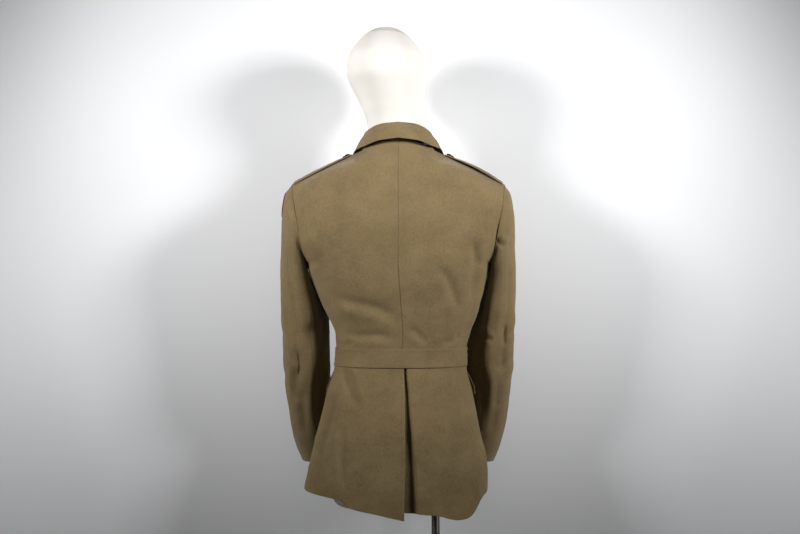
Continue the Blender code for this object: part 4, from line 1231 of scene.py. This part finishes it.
@dataclass
class Skirts:
    """The two back skirts and the vent between them."""

    # places from the vent to the side seam, and the hem's heights there
    left_hem: tuple = ((0.0, 0.14, 0.33, 0.41, 0.65, 1.0),
                       (0.322, 0.333, 0.3445, 0.358, 0.3635, 0.3660))
    right_hem: tuple = ((0.0, 0.15, 0.27, 0.34, 0.43, 0.51, 0.58, 0.64, 0.72, 0.88, 1.0),
                        (0.334, 0.330, 0.3225, 0.320, 0.321, 0.327, 0.338, 0.350, 0.358, 0.3635,
                         0.3720))
    vent_depth: float = 0.0050
    vent_opening: float = 0.0110
    underlap: float = 0.32
    drape: Drape = BODY_DRAPE

    def hem(self, across: Grid, half: Half) -> Grid:
        """Height of the hem, a smooth curve from the vent to the side seam."""
        places, heights = self.left_hem if half is Half.LEFT else self.right_hem
        return curve_through(places, np.array(heights)[:, None], across)[..., 0]

    def left(self, down: Grid, across: Grid) -> tuple[Grid, Grid]:
        """The left skirt, whose straight edge laps over the vent."""
        form = BodyForm(True, Half.LEFT)
        edge = -0.028 - 0.022 * down
        part = edge + (1.0 - edge) * trimmed(across, 0.2)
        row = WAIST - SEAM + down * (self.hem(across, Half.LEFT) - WAIST + SEAM)
        points, out = form.points(part, row), form.normals(part, row)
        return self.drape.laid(points, out, belt_share(row)), out

    def right(self, down: Grid, across: Grid) -> tuple[Grid, Grid]:
        """The right skirt, turned in at the vent to pass under the left one.

        Its first fifth is the underlap: it leaves the fold along a quarter
        turn and then lies level, deeper towards the hem.
        """
        form = BodyForm(True, Half.RIGHT)
        fold = 0.051 + 0.092 * down
        share = 0.20
        lap = np.clip((share - across) / share, 0.0, 1.0)
        face = np.clip((across - share) / (1.0 - share), 0.0, 1.0)
        part = fold + (1.0 - fold) * trimmed(face, 0.2) - self.underlap * lap ** 1.15
        sink = ease(lap / 0.10) * (self.vent_depth + self.vent_opening * down)
        hem = self.hem(face, Half.RIGHT) + 0.003 * lap
        row = WAIST - SEAM + down * (hem - WAIST + SEAM)
        points, out = form.points(part, row), form.normals(part, row)
        kept = belt_share(row) * (1.0 - ease(lap / 0.08))
        return self.drape.laid(points, out, kept) - out * sink[..., None], out

    def build(self, finishes: Finishes) -> list[tuple[Grid, Grid]]:
        """Make both skirts and give the sewing line along the vent's edge."""
        left = Panel("skirt_back_left", self.left, (0.220, 0.300),
                     area=0.061, turned_up=0.030)
        left.build(finishes.wool)
        Panel("skirt_back_right", self.right, (0.270, 0.300),
              area=0.075, turned_up=0.030).build(finishes.wool)
        return [left.line((0.05, 0.985), (0.022, 0.022))]


@dataclass
class HalfBelt:
    """The half belt over the waist joint, from side seam to side seam."""

    height: float = 0.036
    lay: float = 0.0010
    reach: float = 0.985
    drape: Drape = BODY_DRAPE

    def face(self, up: Grid, across: Grid) -> tuple[Grid, Grid]:
        """The belt's face: the body's form lifted by a cloth, pinched at its left end."""
        row = WAIST + (up - 0.5) * self.height
        signed = (2.0 * across - 1.0) * self.reach
        left, right = BodyForm(True, Half.LEFT), BodyForm(True, Half.RIGHT)
        on_left = (signed >= 0.0)[..., None]
        part = np.abs(signed)
        points = np.where(on_left, left.points(part, row), right.points(part, row))
        out = np.where(on_left, left.normals(part, row), right.normals(part, row))
        end = ease((np.abs(signed) - 0.55) / 0.3)
        pinch = 0.0003 * end * np.sin(up * 17.0 + signed * 9.0)
        edge = 0.0003 * np.cos(up * 2.0 * math.pi)
        tucked = 0.0022 * ease((np.abs(signed) - 0.93) / 0.055)
        lift = CLOTH + self.lay + pinch - edge - tucked
        points = points + out * lift[..., None]
        return self.drape.laid(points, out, belt_share(row)), out

    def build(self, finishes: Finishes) -> list[tuple[Grid, Grid]]:
        """Make the belt and give the sewing lines along its edges."""
        belt = Panel("back_belt", self.face, (0.330, 0.038),
                     held="stretched", rests_on=("back_left_serge", "back_right_serge"),
                     spacing=0.0026)
        belt.build(finishes.wool)
        return [belt.line((place_at, place_at), (0.01, 0.99)) for place_at in (0.10, 0.90)]


def roll_line(row: Grid) -> Grid:
    """Where a front ends towards the middle: its edge, and its lapel's roll above."""
    reach = np.interp(row, SECTIONS[:, 0], SECTIONS[:, 1])
    edge = -BUTTON_STAND / reach * (2.0 / math.pi)
    neck = NECK_HALF_WIDTH / SLEEVE[0, 0]
    part = np.clip((row - BREAK_HEIGHT) / (RIDGE_ROW - BREAK_HEIGHT), 0.0, 1.0)
    return edge + (neck - edge) * part ** 0.9


def front_face(part: Grid, row: Grid, half: Half, lift: Grid | float = 0.0,
               drape: Drape = BODY_DRAPE) -> tuple[Grid, Grid]:
    """The creased face of a front, lifted; the left one laps over the right.

    Args:
        part: places from the middle to the side seam or armhole.
        row: rows by their height at the middle.
        half: the side of the wearer.
        lift: how far above the face the points lie.
        drape: the creases.

    Returns:
        Points and normals.
    """
    part, row = np.broadcast_arrays(part, row)
    form = BodyForm(False, half)
    points, out = form.points(part, row), form.normals(part, row)
    seam = ease((row - SEAM_ROW + 0.012) / 0.012)[..., None]
    out = unit(out * (1.0 - seam) + shoulder_seam_normal(part, half) * seam)
    hole = ease((part - 0.97) / 0.03)[..., None]
    out = unit(out * (1.0 - hole) + armhole_direction(points, out, half) * hole)
    if half is Half.LEFT:
        near = ease((0.32 - part) / 0.14)
        lift = lift + FRONT_LAP * near * np.clip((0.93 - row) / 0.03, 0.0, 1.0)
    kept = drape.lift(points, out) * (1.0 - 0.8 * seam[..., 0])
    return points + out * (kept + lift)[..., None], out


@dataclass
class Fronts:
    """Two whole fronts with their lapels, and the lapped edge's buttons."""

    lapel_lay: float = 0.0006
    lapel_foot: float = 0.852
    lapel_top: float = 0.987
    lapel_width: tuple[float, float] = (0.02, 0.38)    # at its foot, and how much more above
    lapel_swell: float = 0.0014
    lapel_roll: float = 0.0012
    buttons: int = 4
    pitch: float = 0.074
    top_button: float = 0.838
    button_radius: float = 0.011

    @staticmethod
    def front(half: Half) -> Face:
        """A front from its hem to the shoulder seam, its edge on the roll line."""
        def surface(up: Grid, across: Grid) -> tuple[Grid, Grid]:
            row = FRONT_HEM + SEAM + up * (SEAM_ROW - 1.5 * SEAM - FRONT_HEM)
            start = roll_line(row)
            part = start + trimmed(across, 0.19) * (1.0 - start)
            rise = HEM_RISE[half]
            row = row + rise * np.clip(part, 0.0, 1.0) ** 2 * np.clip(1.0 - up * 6.0, 0.0, 1.0)
            return front_face(part, row, half)
        return surface

    def lapel(self, half: Half) -> Face:
        """The turned-back part of a front: rolled over its edge, then laid on it."""
        def surface(up: Grid, out_part: Grid) -> tuple[Grid, Grid]:
            row = self.lapel_foot + (self.lapel_top - self.lapel_foot) * up
            start = roll_line(row) + 0.004
            if half is Half.RIGHT:
                start = np.abs(start) + 0.02
            foot, more = self.lapel_width
            width = foot + more * np.sin(up * math.pi * 0.5) ** 0.9 * (1.0 - 0.14 * up)
            roll = np.exp(-(out_part * width * 0.2 / 0.0035) ** 2)
            lift = (CLOTH + self.lapel_lay + self.lapel_swell * np.sin(out_part * math.pi)
                    - self.lapel_roll * roll)
            return front_face(start + out_part * width, row + 0.010 * out_part * up, half, lift)
        return surface

    def build(self, finishes: Finishes) -> list[tuple[Grid, Grid]]:
        """Make fronts, lapels and buttons and give the sewing lines on them."""
        lines = []
        for half in Half:
            front = Panel("front_" + half.word, self.front(half),
                          (0.270, 0.755), area=0.164)
            front.build(finishes.wool)
            lapel = Panel("lapel_" + half.word, self.lapel(half),
                          (0.085, 0.180), area=0.0087, held="folded",
                          rests_on=(front.name,), spacing=0.0026)
            lapel.build(finishes.wool)
            lines.append(front.line((0.01, 0.66), (0.022, 0.022)))
            lines.append(lapel.line((0.10, 0.95), (0.93, 0.93)))
            lines.append(lapel.line((0.96, 0.96), (0.10, 0.93)))
        for number in range(self.buttons):
            Button("front_button_%d" % (number + 1), self.button_radius).build(
                0.0, self.top_button - number * self.pitch, Half.LEFT, 0.0004, finishes)
        return lines


@dataclass
class Button:
    """A plain domed brass button with a rolled rim, sewn on by its shank."""

    node: str
    radius: float

    def build(self, part: float, row: float, half: Half, lift: float,
              finishes: Finishes) -> bpy.types.Object:
        """Turn the button and set it on a front.

        Its profile climbs from the shank over the rolled rim and up the dome,
        whose height falls off as the square of the radius.

        Args:
            part: its place across the front.
            row: its row.
            half: the side of the wearer.
            lift: how far off the front its back lies.
            finishes: the finishes.

        Returns:
            The object.
        """
        points, out = front_face(np.array([[part]]), np.array([[row]]), half, lift + LAY)
        size, rise = self.radius, self.radius * 0.36
        turn = np.linspace(-0.5, 0.5, 7) * math.pi
        rim = np.stack([size * (0.95 + 0.05 * np.cos(turn)), rise * (0.30 + 0.16 * np.sin(turn))],
                       -1)
        reach = np.linspace(0.88, 0.04, 10)
        dome = np.stack([size * reach, rise * (0.40 + 0.60 * (1.0 - (reach / 0.9) ** 2))], -1)
        shank = np.array(((size * 0.16, -LAY), (size * 0.18, rise * 0.12)))
        profile = np.concatenate([shank, rim, dome])
        rings = turned_rings(profile, points[0, 0], 32, out[0, 0])
        piece = ring_solid(self.node + "_brass", rings, finishes.brass)
        declare(piece, self.node)
        LOG.info("%s: radius %.4f m", piece.name, self.radius)
        return piece


@dataclass
class Collar:
    """Stand and fall in one folded wall round the neck, gaping a little on the right."""

    gape: float = 0.0016
    drape: Drape = Drape(())

    def points(self, around: Grid, over: Grid) -> Grid:
        """Points of the collar: stations round the neck, and a folded profile over each.

        The profile climbs from the foot of the stand, turns over the fold and
        comes down to the edge of the fall, through eight places.

        Args:
            around: from 0 at the right end to 1 at the left one.
            over: from 0 at the foot to 1 at the edge of the fall.

        Returns:
            The points.
        """
        around, over = np.broadcast_arrays(around, over)
        shape = around.shape
        stations_place = (np.ravel(around) * 2.0 - 1.0) * (len(COLLAR) - 1)
        rows = curve_through(range(len(COLLAR)), COLLAR, np.abs(stations_place))
        side = np.where(stations_place < 0.0, -1.0, 1.0)[:, None] * (1.0, 0.0, 0.0) + (0, 1, 1)
        fold, edge, foot = (rows[:, k:k + 3] * side for k in (0, 3, 6))
        loose = np.exp(-((stations_place + 2.9) / 0.55) ** 2)[:, None]
        away = unit((edge - fold) * (1.0, 1.0, 0.0))
        rise = np.array((0.0, 0.0, 1.0))
        edge = edge + loose * self.gape * (away * 0.5 + rise)
        lines = (foot, foot * 0.5 + fold * 0.5 - away * 0.0006,
                 fold - away * 0.0030 - rise * 0.0035,
                 fold - away * 0.0014 - rise * 0.0006, fold + away * 0.0014 - rise * 0.0006,
                 fold + away * 0.0032 - rise * 0.0040,
                 fold * 0.5 + edge * 0.5 + away * 0.0022 + rise * 0.0010, edge)
        lengths = np.array((0.0, 0.016, 0.030, 0.0345, 0.0375, 0.043, 0.058, 0.0745))
        return through_rows(lengths / lengths[-1], np.array(lines),
                            np.ravel(over)).reshape(shape + (3,))

    def face(self, around: Grid, over: Grid) -> tuple[Grid, Grid]:
        """Points and normals, outwards on the fall and inwards on the stand."""
        step = 0.004
        one = self.points(around + step, over) - self.points(around - step, over)
        two = self.points(around, over + step) - self.points(around, over - step)
        out = unit(np.cross(two, one))
        points = self.points(around, over)
        return self.drape.laid(points, out, 0.5), out

    def build(self, finishes: Finishes) -> list[tuple[Grid, Grid]]:
        """Make the collar and give the sewing line along its edge."""
        collar = Panel("collar", lambda down, across: self.face(across, down),
                       (0.400, 0.065), area=0.0245, held="folded",
                       rests_on=("back_left_serge", "back_right_serge"), spacing=0.0024)
        collar.build(finishes.wool)
        return [collar.line((0.93, 0.93), (0.02, 0.98))]


@dataclass
class Sleeves:
    """Top sleeve and under sleeve on each side, from armhole to cuff, and the badge."""

    drape: Drape = SLEEVE_DRAPE
    start: float = 0.0016
    badge_place: tuple[float, float] = (0.125, 4.0)
    badge_size: tuple[float, float] = (0.050, 22.0)
    felt: float = 0.0012

    def face(self, half: Half, first: float, last: float) -> Face:
        """The face of one part of a sleeve, between two angles round it."""
        form = SleeveForm(half)

        def surface(down: Grid, across: Grid) -> tuple[Grid, Grid]:
            along = self.start + (1.0 - self.start) * down
            angle = first + trimmed(across, 0.17) * (last - first)
            points, out = form.points(along, angle), form.normals(along, angle)
            head = ease(1.0 - down / 0.03)[..., None]
            out = unit(out * (1.0 - head) + armhole_direction(points, out, half) * head)
            return self.drape.laid(points, out, 1.0 - 0.8 * head[..., 0]), out
        return surface

    def badge(self, finishes: Finishes) -> None:
        """Lay a plain round felt patch on the left top sleeve."""
        form = SleeveForm(Half.LEFT)
        size, turn = np.meshgrid(np.linspace(0.02, 1.0, 14), np.arange(72) * math.pi / 36.0,
                                 indexing="ij")
        along = self.badge_place[0] + self.badge_size[0] * size * np.cos(turn)
        angle = self.badge_place[1] + self.badge_size[1] * size * np.sin(turn)
        out = form.normals(along, angle)
        points = self.drape.laid(form.points(along, angle), out) + out * (LAY + self.felt)
        lip = 0.3 * self.felt * np.exp(-((1.0 - size) / 0.04) ** 2)[..., None]
        rings = np.concatenate([points - out * lip, (points - out * (self.felt - lip))[::-1]])
        piece = ring_solid("sleeve_badge_felt", rings, finishes.felt)
        declare(piece, "sleeve_badge")
        LOG.info("%s: laid on the left sleeve", piece.name)

    def build(self, finishes: Finishes) -> list[tuple[Grid, Grid]]:
        """Make both sleeves and the badge, and give the sewing lines at the cuffs."""
        lines = []
        for half in Half:
            for word, first, last, width, length, area in (
                    ("top", FORE_SEAM, HIND_SEAM, 0.220, 0.585, 0.097),
                    ("under", HIND_SEAM, 360.0 + FORE_SEAM, 0.170, 0.500, 0.061)):
                name = "sleeve_%s_%s" % (word, half.word)
                part = Panel(name, self.face(half, first, last),
                             (width, length), area=area, rests_on=("back_%s_serge" % half.word,
                                                       "front_%s_serge" % half.word),
                             turned_up=0.035)
                part.build(finishes.wool)
                lines.append(part.line((0.94, 0.94), (0.0, 1.0)))
        self.badge(finishes)
        return lines


@dataclass
class ShoulderStraps:
    """A strap along the top of each shoulder, buttoned near the collar."""

    rows: tuple[float, float] = (1.006, 1.056)
    lay: float = 0.0007
    outer_end: float = 0.985
    length: float = 0.545
    bow: tuple[float, float] = (0.0015, 0.0045)
    button_radius: float = 0.0085
    button_place: tuple[float, float] = (0.92, 1.029)    # along the strap, and its row

    def face(self, half: Half) -> Face:
        """The strap's face: the front's, lifted, bowed up between its two ends."""
        bow = self.bow[0] if half is Half.LEFT else self.bow[1]

        def surface(along: Grid, over: Grid) -> tuple[Grid, Grid]:
            row = self.rows[0] + (self.rows[1] - self.rows[0]) * over
            lift = CLOTH + self.lay + bow * np.sin(along * math.pi)
            return front_face(self.outer_end - self.length * along, row, half, lift)
        return surface

    def build(self, finishes: Finishes) -> list[tuple[Grid, Grid]]:
        """Make straps and buttons and give the sewing lines round the straps."""
        lines = []
        for half, bow in zip(Half, self.bow):
            strap = Panel("shoulder_strap_" + half.word,
                          self.face(half), (0.068, 0.128), held="laid",
                          rests_on=("front_%s_serge" % half.word,), spacing=0.0026)
            strap.build(finishes.wool)
            lift = CLOTH + self.lay + bow * math.sin(0.86 * math.pi)
            Button("strap_button_" + half.word, self.button_radius).build(
                self.outer_end - self.length * self.button_place[0], self.button_place[1], half,
                lift + LAY, finishes)
            lines += [strap.line((0.03, 0.96), (side, side)) for side in (0.09, 0.91)]
            lines.append(strap.line((0.96, 0.96), (0.09, 0.91)))
        return lines


@dataclass
class HipFlaps:
    """A pocket flap on each front's skirt, standing off a little at its rear end."""

    lay: float = 0.0009
    top: float = 0.592
    drop: float = 0.046
    bow: float = 0.010            # how much lower its edge is at its middle
    reach: tuple[float, float] = (0.36, 0.55)    # its front end and width across the front
    stand: tuple[float, float] = (0.0035, 0.0062)
    button_radius: float = 0.0085
    button_place: tuple[float, float] = (0.635, 0.549)

    def face(self, half: Half) -> Face:
        """The flap's face: the front's, lifted, its lower edge a shallow bow.

        Its rear end stands off by the sine of the way down and turns in again.
        """
        stand = self.stand[0] if half is Half.LEFT else self.stand[1]

        def surface(down: Grid, across: Grid) -> tuple[Grid, Grid]:
            row = self.top - (self.drop + self.bow * np.sin(across * math.pi)) * down
            lift = CLOTH + self.lay + stand * np.sin(2.3 * down) * across ** 3
            return front_face(self.reach[0] + self.reach[1] * across, row, half, lift)
        return surface

    def build(self, finishes: Finishes) -> list[tuple[Grid, Grid]]:
        """Make flaps and buttons and give the sewing lines round the flaps."""
        lines = []
        for half, stand in zip(Half, self.stand):
            flap = Panel("hip_flap_" + half.word,
                         self.face(half), (0.120, 0.058), area=0.0063, held="hung",
                         rests_on=("front_%s_serge" % half.word,), spacing=0.0026)
            flap.build(finishes.wool)
            Button("hip_button_" + half.word, self.button_radius).build(
                *self.button_place, half, CLOTH + self.lay + stand * 0.1, finishes)
            lines += [flap.line((0.90, 0.90), (0.04, 0.96)), flap.line((0.02, 0.90), (0.04, 0.04)),
                      flap.line((0.02, 0.90), (0.96, 0.96)), flap.line((0.06, 0.06), (0.0, 1.0))]
        return lines


@dataclass
class DressForm:
    """The limbless form: trunk, neck and a plain featureless head with a capped crown."""

    bottom: float = 0.326
    rounding: float = 0.030
    neck_radius: float = 0.0570
    neck_foot: float = 0.975
    neck_top: float = 1.085
    neck_place: tuple[float, float, float] = (0.003, 0.0, 0.0)
    crown_seam: float = 1.2602
    crown_tilt: tuple[float, float] = (0.0035, 0.6)    # its height and which way, in radians
    # clearance under the tunic at several heights
    clearance: tuple[tuple[float, float], ...] = (
        (0.33, 0.056), (0.366, 0.054), (0.426, 0.040), (0.490, 0.023), (0.554, 0.0110),
        (0.602, 0.0085), (0.666, 0.0085), (0.930, 0.0065), (1.000, 0.0016), (1.045, 0.0011))

    def trunk_ring(self, back_row: float, front_row: float) -> Grid:
        """One closed ring of the trunk: the tunic's rows moved in by the clearance.

        Args:
            back_row: the row behind.
            front_row: the row in front.

        Returns:
            The ring's points.
        """
        away = CLOTH + np.interp(back_row, *zip(*self.clearance))
        across = np.linspace(0.0, 1.0, 25)
        lines = []
        for behind, row in ((True, back_row), (False, front_row)):
            form = BodyForm(behind, Half.LEFT, False)
            level = np.full_like(across, row)
            lines.append(form.points(across, level) - form.normals(across, level) * away)
        back, front = lines
        if front_row == SEAM_ROW:
            back = front = 0.5 * (back + front)
        bridge = np.linspace(0.0, 1.0, 8)[1:-1, None]
        half = np.concatenate([back, back[-1] * (1.0 - bridge) + front[-1] * bridge, front[::-1]])
        half[(0, -1), 0] = 0.0
        return np.concatenate([half, half[-2:0:-1] * (-1.0, 1.0, 1.0)])

    def trunk(self, finishes: Finishes) -> None:
        """Make the trunk, rounded below in a quarter circle."""
        low = self.bottom + self.rounding
        rows = [(row, row) for row in np.linspace(low, 0.928, 52)]
        rows += [(0.940, 0.940), (0.950, 0.950), (0.975, 0.975), (0.992, 0.992), (1.006, 1.006),
                 (1.018, 1.018), (1.028, 1.032), (1.037, 1.045), (1.045, SEAM_ROW)]
        rings = [self.trunk_ring(back, front) for back, front in rows]
        foot = rings[0]
        foot[:, 2] = low
        middle = foot.mean(axis=0)
        for turn in np.radians(np.linspace(10.0, 90.0, 9)):
            ring = foot - unit(foot - middle) * self.rounding * (1.0 - math.cos(turn))
            ring[:, 2] = low - self.rounding * math.sin(turn)
            rings.insert(0, ring)
        piece = ring_solid("form_trunk_cover", np.array(rings), finishes.trunk, merge=1e-5)
        declare(piece, "form_torso")
        LOG.info("%s: %d rings", piece.name, len(rings))

    def neck(self, finishes: Finishes) -> None:
        """Make the neck, whose top is inside the foot of the head."""
        rise = np.linspace(0.0, 1.0, 12)
        profile = np.stack([self.neck_radius - 0.0008 * rise,
                            self.neck_foot + (self.neck_top - self.neck_foot) * rise], -1)
        piece = ring_solid("form_neck_cover", turned_rings(profile, self.neck_place, 72),
                           finishes.head)
        declare(piece)
        LOG.info("%s: radius %.3f m", piece.name, self.neck_radius)

    def head(self, finishes: Finishes) -> None:
        """Make the head: ellipses through its rows, with a groove where the cap joins.

        The groove sinks each ring by a bell of its height above the seam, and a
        low lip stands above it. The faces above the seam take a darker, greyer
        copy of the jersey: painted shade on the real cap.
        """
        rows = curve_through(range(len(HEAD)), HEAD, np.linspace(0.0, len(HEAD) - 1.0, 90))
        near = np.linspace(-0.004, 0.004, 13) + self.crown_seam
        place_of = np.interp(near, HEAD[:, 0], np.arange(len(HEAD)))
        rows = np.concatenate([rows, curve_through(range(len(HEAD)), HEAD, place_of)])
        rows = rows[np.argsort(rows[:, 0])]
        turn = np.arange(96) * 2.0 * math.pi / 96
        high, way = self.crown_tilt
        tilt = high * np.cos(turn - way)
        gap = (rows[:, :1] - self.crown_seam - tilt) / 0.0011
        push = -0.0010 * np.exp(-gap ** 2) + 0.0005 * np.exp(-((gap + 2.2) / 1.2) ** 2)
        rings = np.stack([rows[:, 3:4] + (rows[:, 1:2] + push) * np.cos(turn),
                          rows[:, 4:5] + (rows[:, 2:3] + push) * np.sin(turn),
                          rows[:, :1] * np.ones_like(turn)], -1)
        piece = ring_solid("form_head_cover", rings, finishes.head)
        # faces above the cap's seam take the crown jersey, painted darker as shade
        piece.data.materials.append(finishes.crown)
        heights = np.empty(len(piece.data.polygons) * 3)
        piece.data.polygons.foreach_get("center", heights)
        x, y, z = heights.reshape(-1, 3).T
        seam = self.crown_seam + high * np.cos(np.arctan2(y + 0.007, x - 0.025) - way)
        piece.data.polygons.foreach_set("material_index", (z > seam).astype(np.int32))
        declare(piece, "form_head")
        LOG.info("%s: %d rings", piece.name, len(rings))

    def build(self, finishes: Finishes) -> None:
        """Make trunk, neck and head."""
        self.trunk(finishes)
        self.neck(finishes)
        self.head(finishes)


@dataclass
class Stand:
    """The pole, off to one side, and its round base."""

    pole_radius: float = 0.008
    pole_place: tuple[float, float] = (-0.074, 0.020)
    pole_top: float = 0.3257
    base_radius: float = 0.180
    base_thickness: float = 0.009

    def build(self, finishes: Finishes) -> None:
        """Turn the pole with its collar, and the base with its eased edge."""
        low = self.base_thickness + SEAM
        r = self.pole_radius
        profile = ((r * 0.9, low), (r, low + 0.001), (r, self.pole_top - 0.001),
                   (r * 0.9, self.pole_top))
        pole = ring_solid("pole_steel", turned_rings(profile, (*self.pole_place, 0.0), 48),
                          finishes.steel)
        turn = np.linspace(0.0, 0.5 * math.pi, 6)
        ease_by = 0.003
        upper = np.stack([self.base_radius - ease_by * (1.0 - np.cos(turn)),
                          self.base_thickness - ease_by * (1.0 - np.sin(turn))], -1)
        low_edge = np.array(((self.base_radius - 0.002, 0.0), (self.base_radius, 0.002)))
        inner = np.array(((self.base_radius * 0.97, self.base_thickness),
                          (self.base_radius * 0.5, self.base_thickness),
                          (0.02, self.base_thickness)))
        base = ring_solid("base_steel", turned_rings(np.concatenate([low_edge, upper, inner]),
                                                     (0.0, 0.0, 0.0), 128), finishes.steel, 30.0)
        for piece, node in ((pole, "pole"), (base, "base")):
            declare(piece, node)
            LOG.info("%s: turned", piece.name)


@dataclass
class Studio:
    """A pale wall and floor, soft lamps and the camera behind the tunic."""

    camera_place: tuple[float, float, float] = (-0.0035, 2.22, 0.80)
    lens: float = 50.0
    wall_place: float = -0.20
    world: float = 0.035
    key_power: float = 0.25
    side_powers: tuple[float, float] = (5.2, 5.9)    # watts, from the left and from the right
    wash_share: float = 0.45                         # of a side lamp's power, on the wall
    glow_power: float = 0.50

    def lamp(self, name: str, at: Sequence[float], aim: Sequence[float], size: float,
             power: float, spread: float) -> None:
        """Hang a square lamp.

        Args:
            name: its name.
            at: its place.
            aim: the point that it faces.
            size: the length of its side.
            power: watts.
            spread: the angle in degrees that its light keeps to.
        """
        light = bpy.data.lights.new(name, "AREA")
        light.size, light.energy, light.spread = size, power, math.radians(spread)
        lamp = bpy.data.objects.new(name, light)
        lamp.location = at
        way = Vector(aim) - Vector(at)
        lamp.rotation_euler = way.to_track_quat("-Z", "Y").to_euler()
        lamp.visible_camera = False
        bpy.context.scene.collection.objects.link(lamp)

    def sheet_of(self, name: str, corners: Sequence[Sequence[float]],
                 paint: bpy.types.Material) -> None:
        """Add a flat stage surface from its four corners."""
        add_piece(name, np.array(corners, float), [(0, 1, 2, 3)], paint)

    def build(self, finishes: Finishes) -> None:
        """Set up the stage, the lamps and the camera."""
        wall = StudioPaint((0.66, 0.665, 0.675), True).material("wall_paint", finishes.effects)
        floor = StudioPaint((0.35, 0.35, 0.355)).material("floor_paint", finishes.effects)
        y = self.wall_place
        self.sheet_of("studio_wall", ((5, y, 0), (-5, y, 0), (-5, y, 4), (5, y, 4)), wall)
        self.sheet_of("studio_floor", ((5, -6, 0), (5, 6, 0), (-5, 6, 0), (-5, -6, 0)), floor)
        self.lamp("key", (0.0, 1.90, 1.70), (0.0, 0.0, 1.10), 0.8, self.key_power, 60.0)
        for side, power in zip((1.0, -1.0), self.side_powers):
            self.lamp("side", (1.14 * side, 0.92, 1.36), (0.0, 0.0, 1.10), 0.35, power, 77.0)
            self.lamp("wall_wash", (1.45 * side, 0.75, 0.90), (0.72 * side, y, 0.74), 0.4,
                      self.wash_share * power, 88.0)
        self.lamp("front_glow", (0.0, y + 0.01, 0.95), (0.0, 1.0, 0.90), 1.4, self.glow_power,
                  180.0)
        scene = bpy.context.scene
        scene.view_settings.view_transform = "Standard"
        world = bpy.data.worlds.new("studio_air")
        world.use_nodes = True
        world.node_tree.nodes["Background"].inputs[0].default_value = (0.93, 0.96, 1.0, 1.0)
        world.node_tree.nodes["Background"].inputs[1].default_value = self.world
        scene.world = world
        view = bpy.data.cameras.new("camera")
        view.lens, view.sensor_width = self.lens, 36.0
        camera = bpy.data.objects.new("camera", view)
        camera.location = self.camera_place
        camera.rotation_euler = (math.pi / 2.0, 0.0, math.pi)
        scene.collection.objects.link(camera)
        scene.camera = camera
        LOG.info("studio: lamps and camera set")


def main() -> None:
    """Build every part of the object in order, then the studio."""
    logging.basicConfig(level=logging.INFO, format="%(name)s: %(message)s")
    finishes = Finishes()
    lines: list[tuple[Grid, Grid]] = []
    for part in (Back(), Skirts(), HalfBelt(), Fronts(), Collar(), Sleeves(), ShoulderStraps(),
                 HipFlaps()):
        lines += part.build(finishes)
        LOG.info("%s done", type(part).__name__)
    Stitching("tunic_topstitching").build(lines, finishes.wool)
    DressForm().build(finishes)
    Stand().build(finishes)
    Studio().build(finishes)


if __name__ == "__main__":
    main()
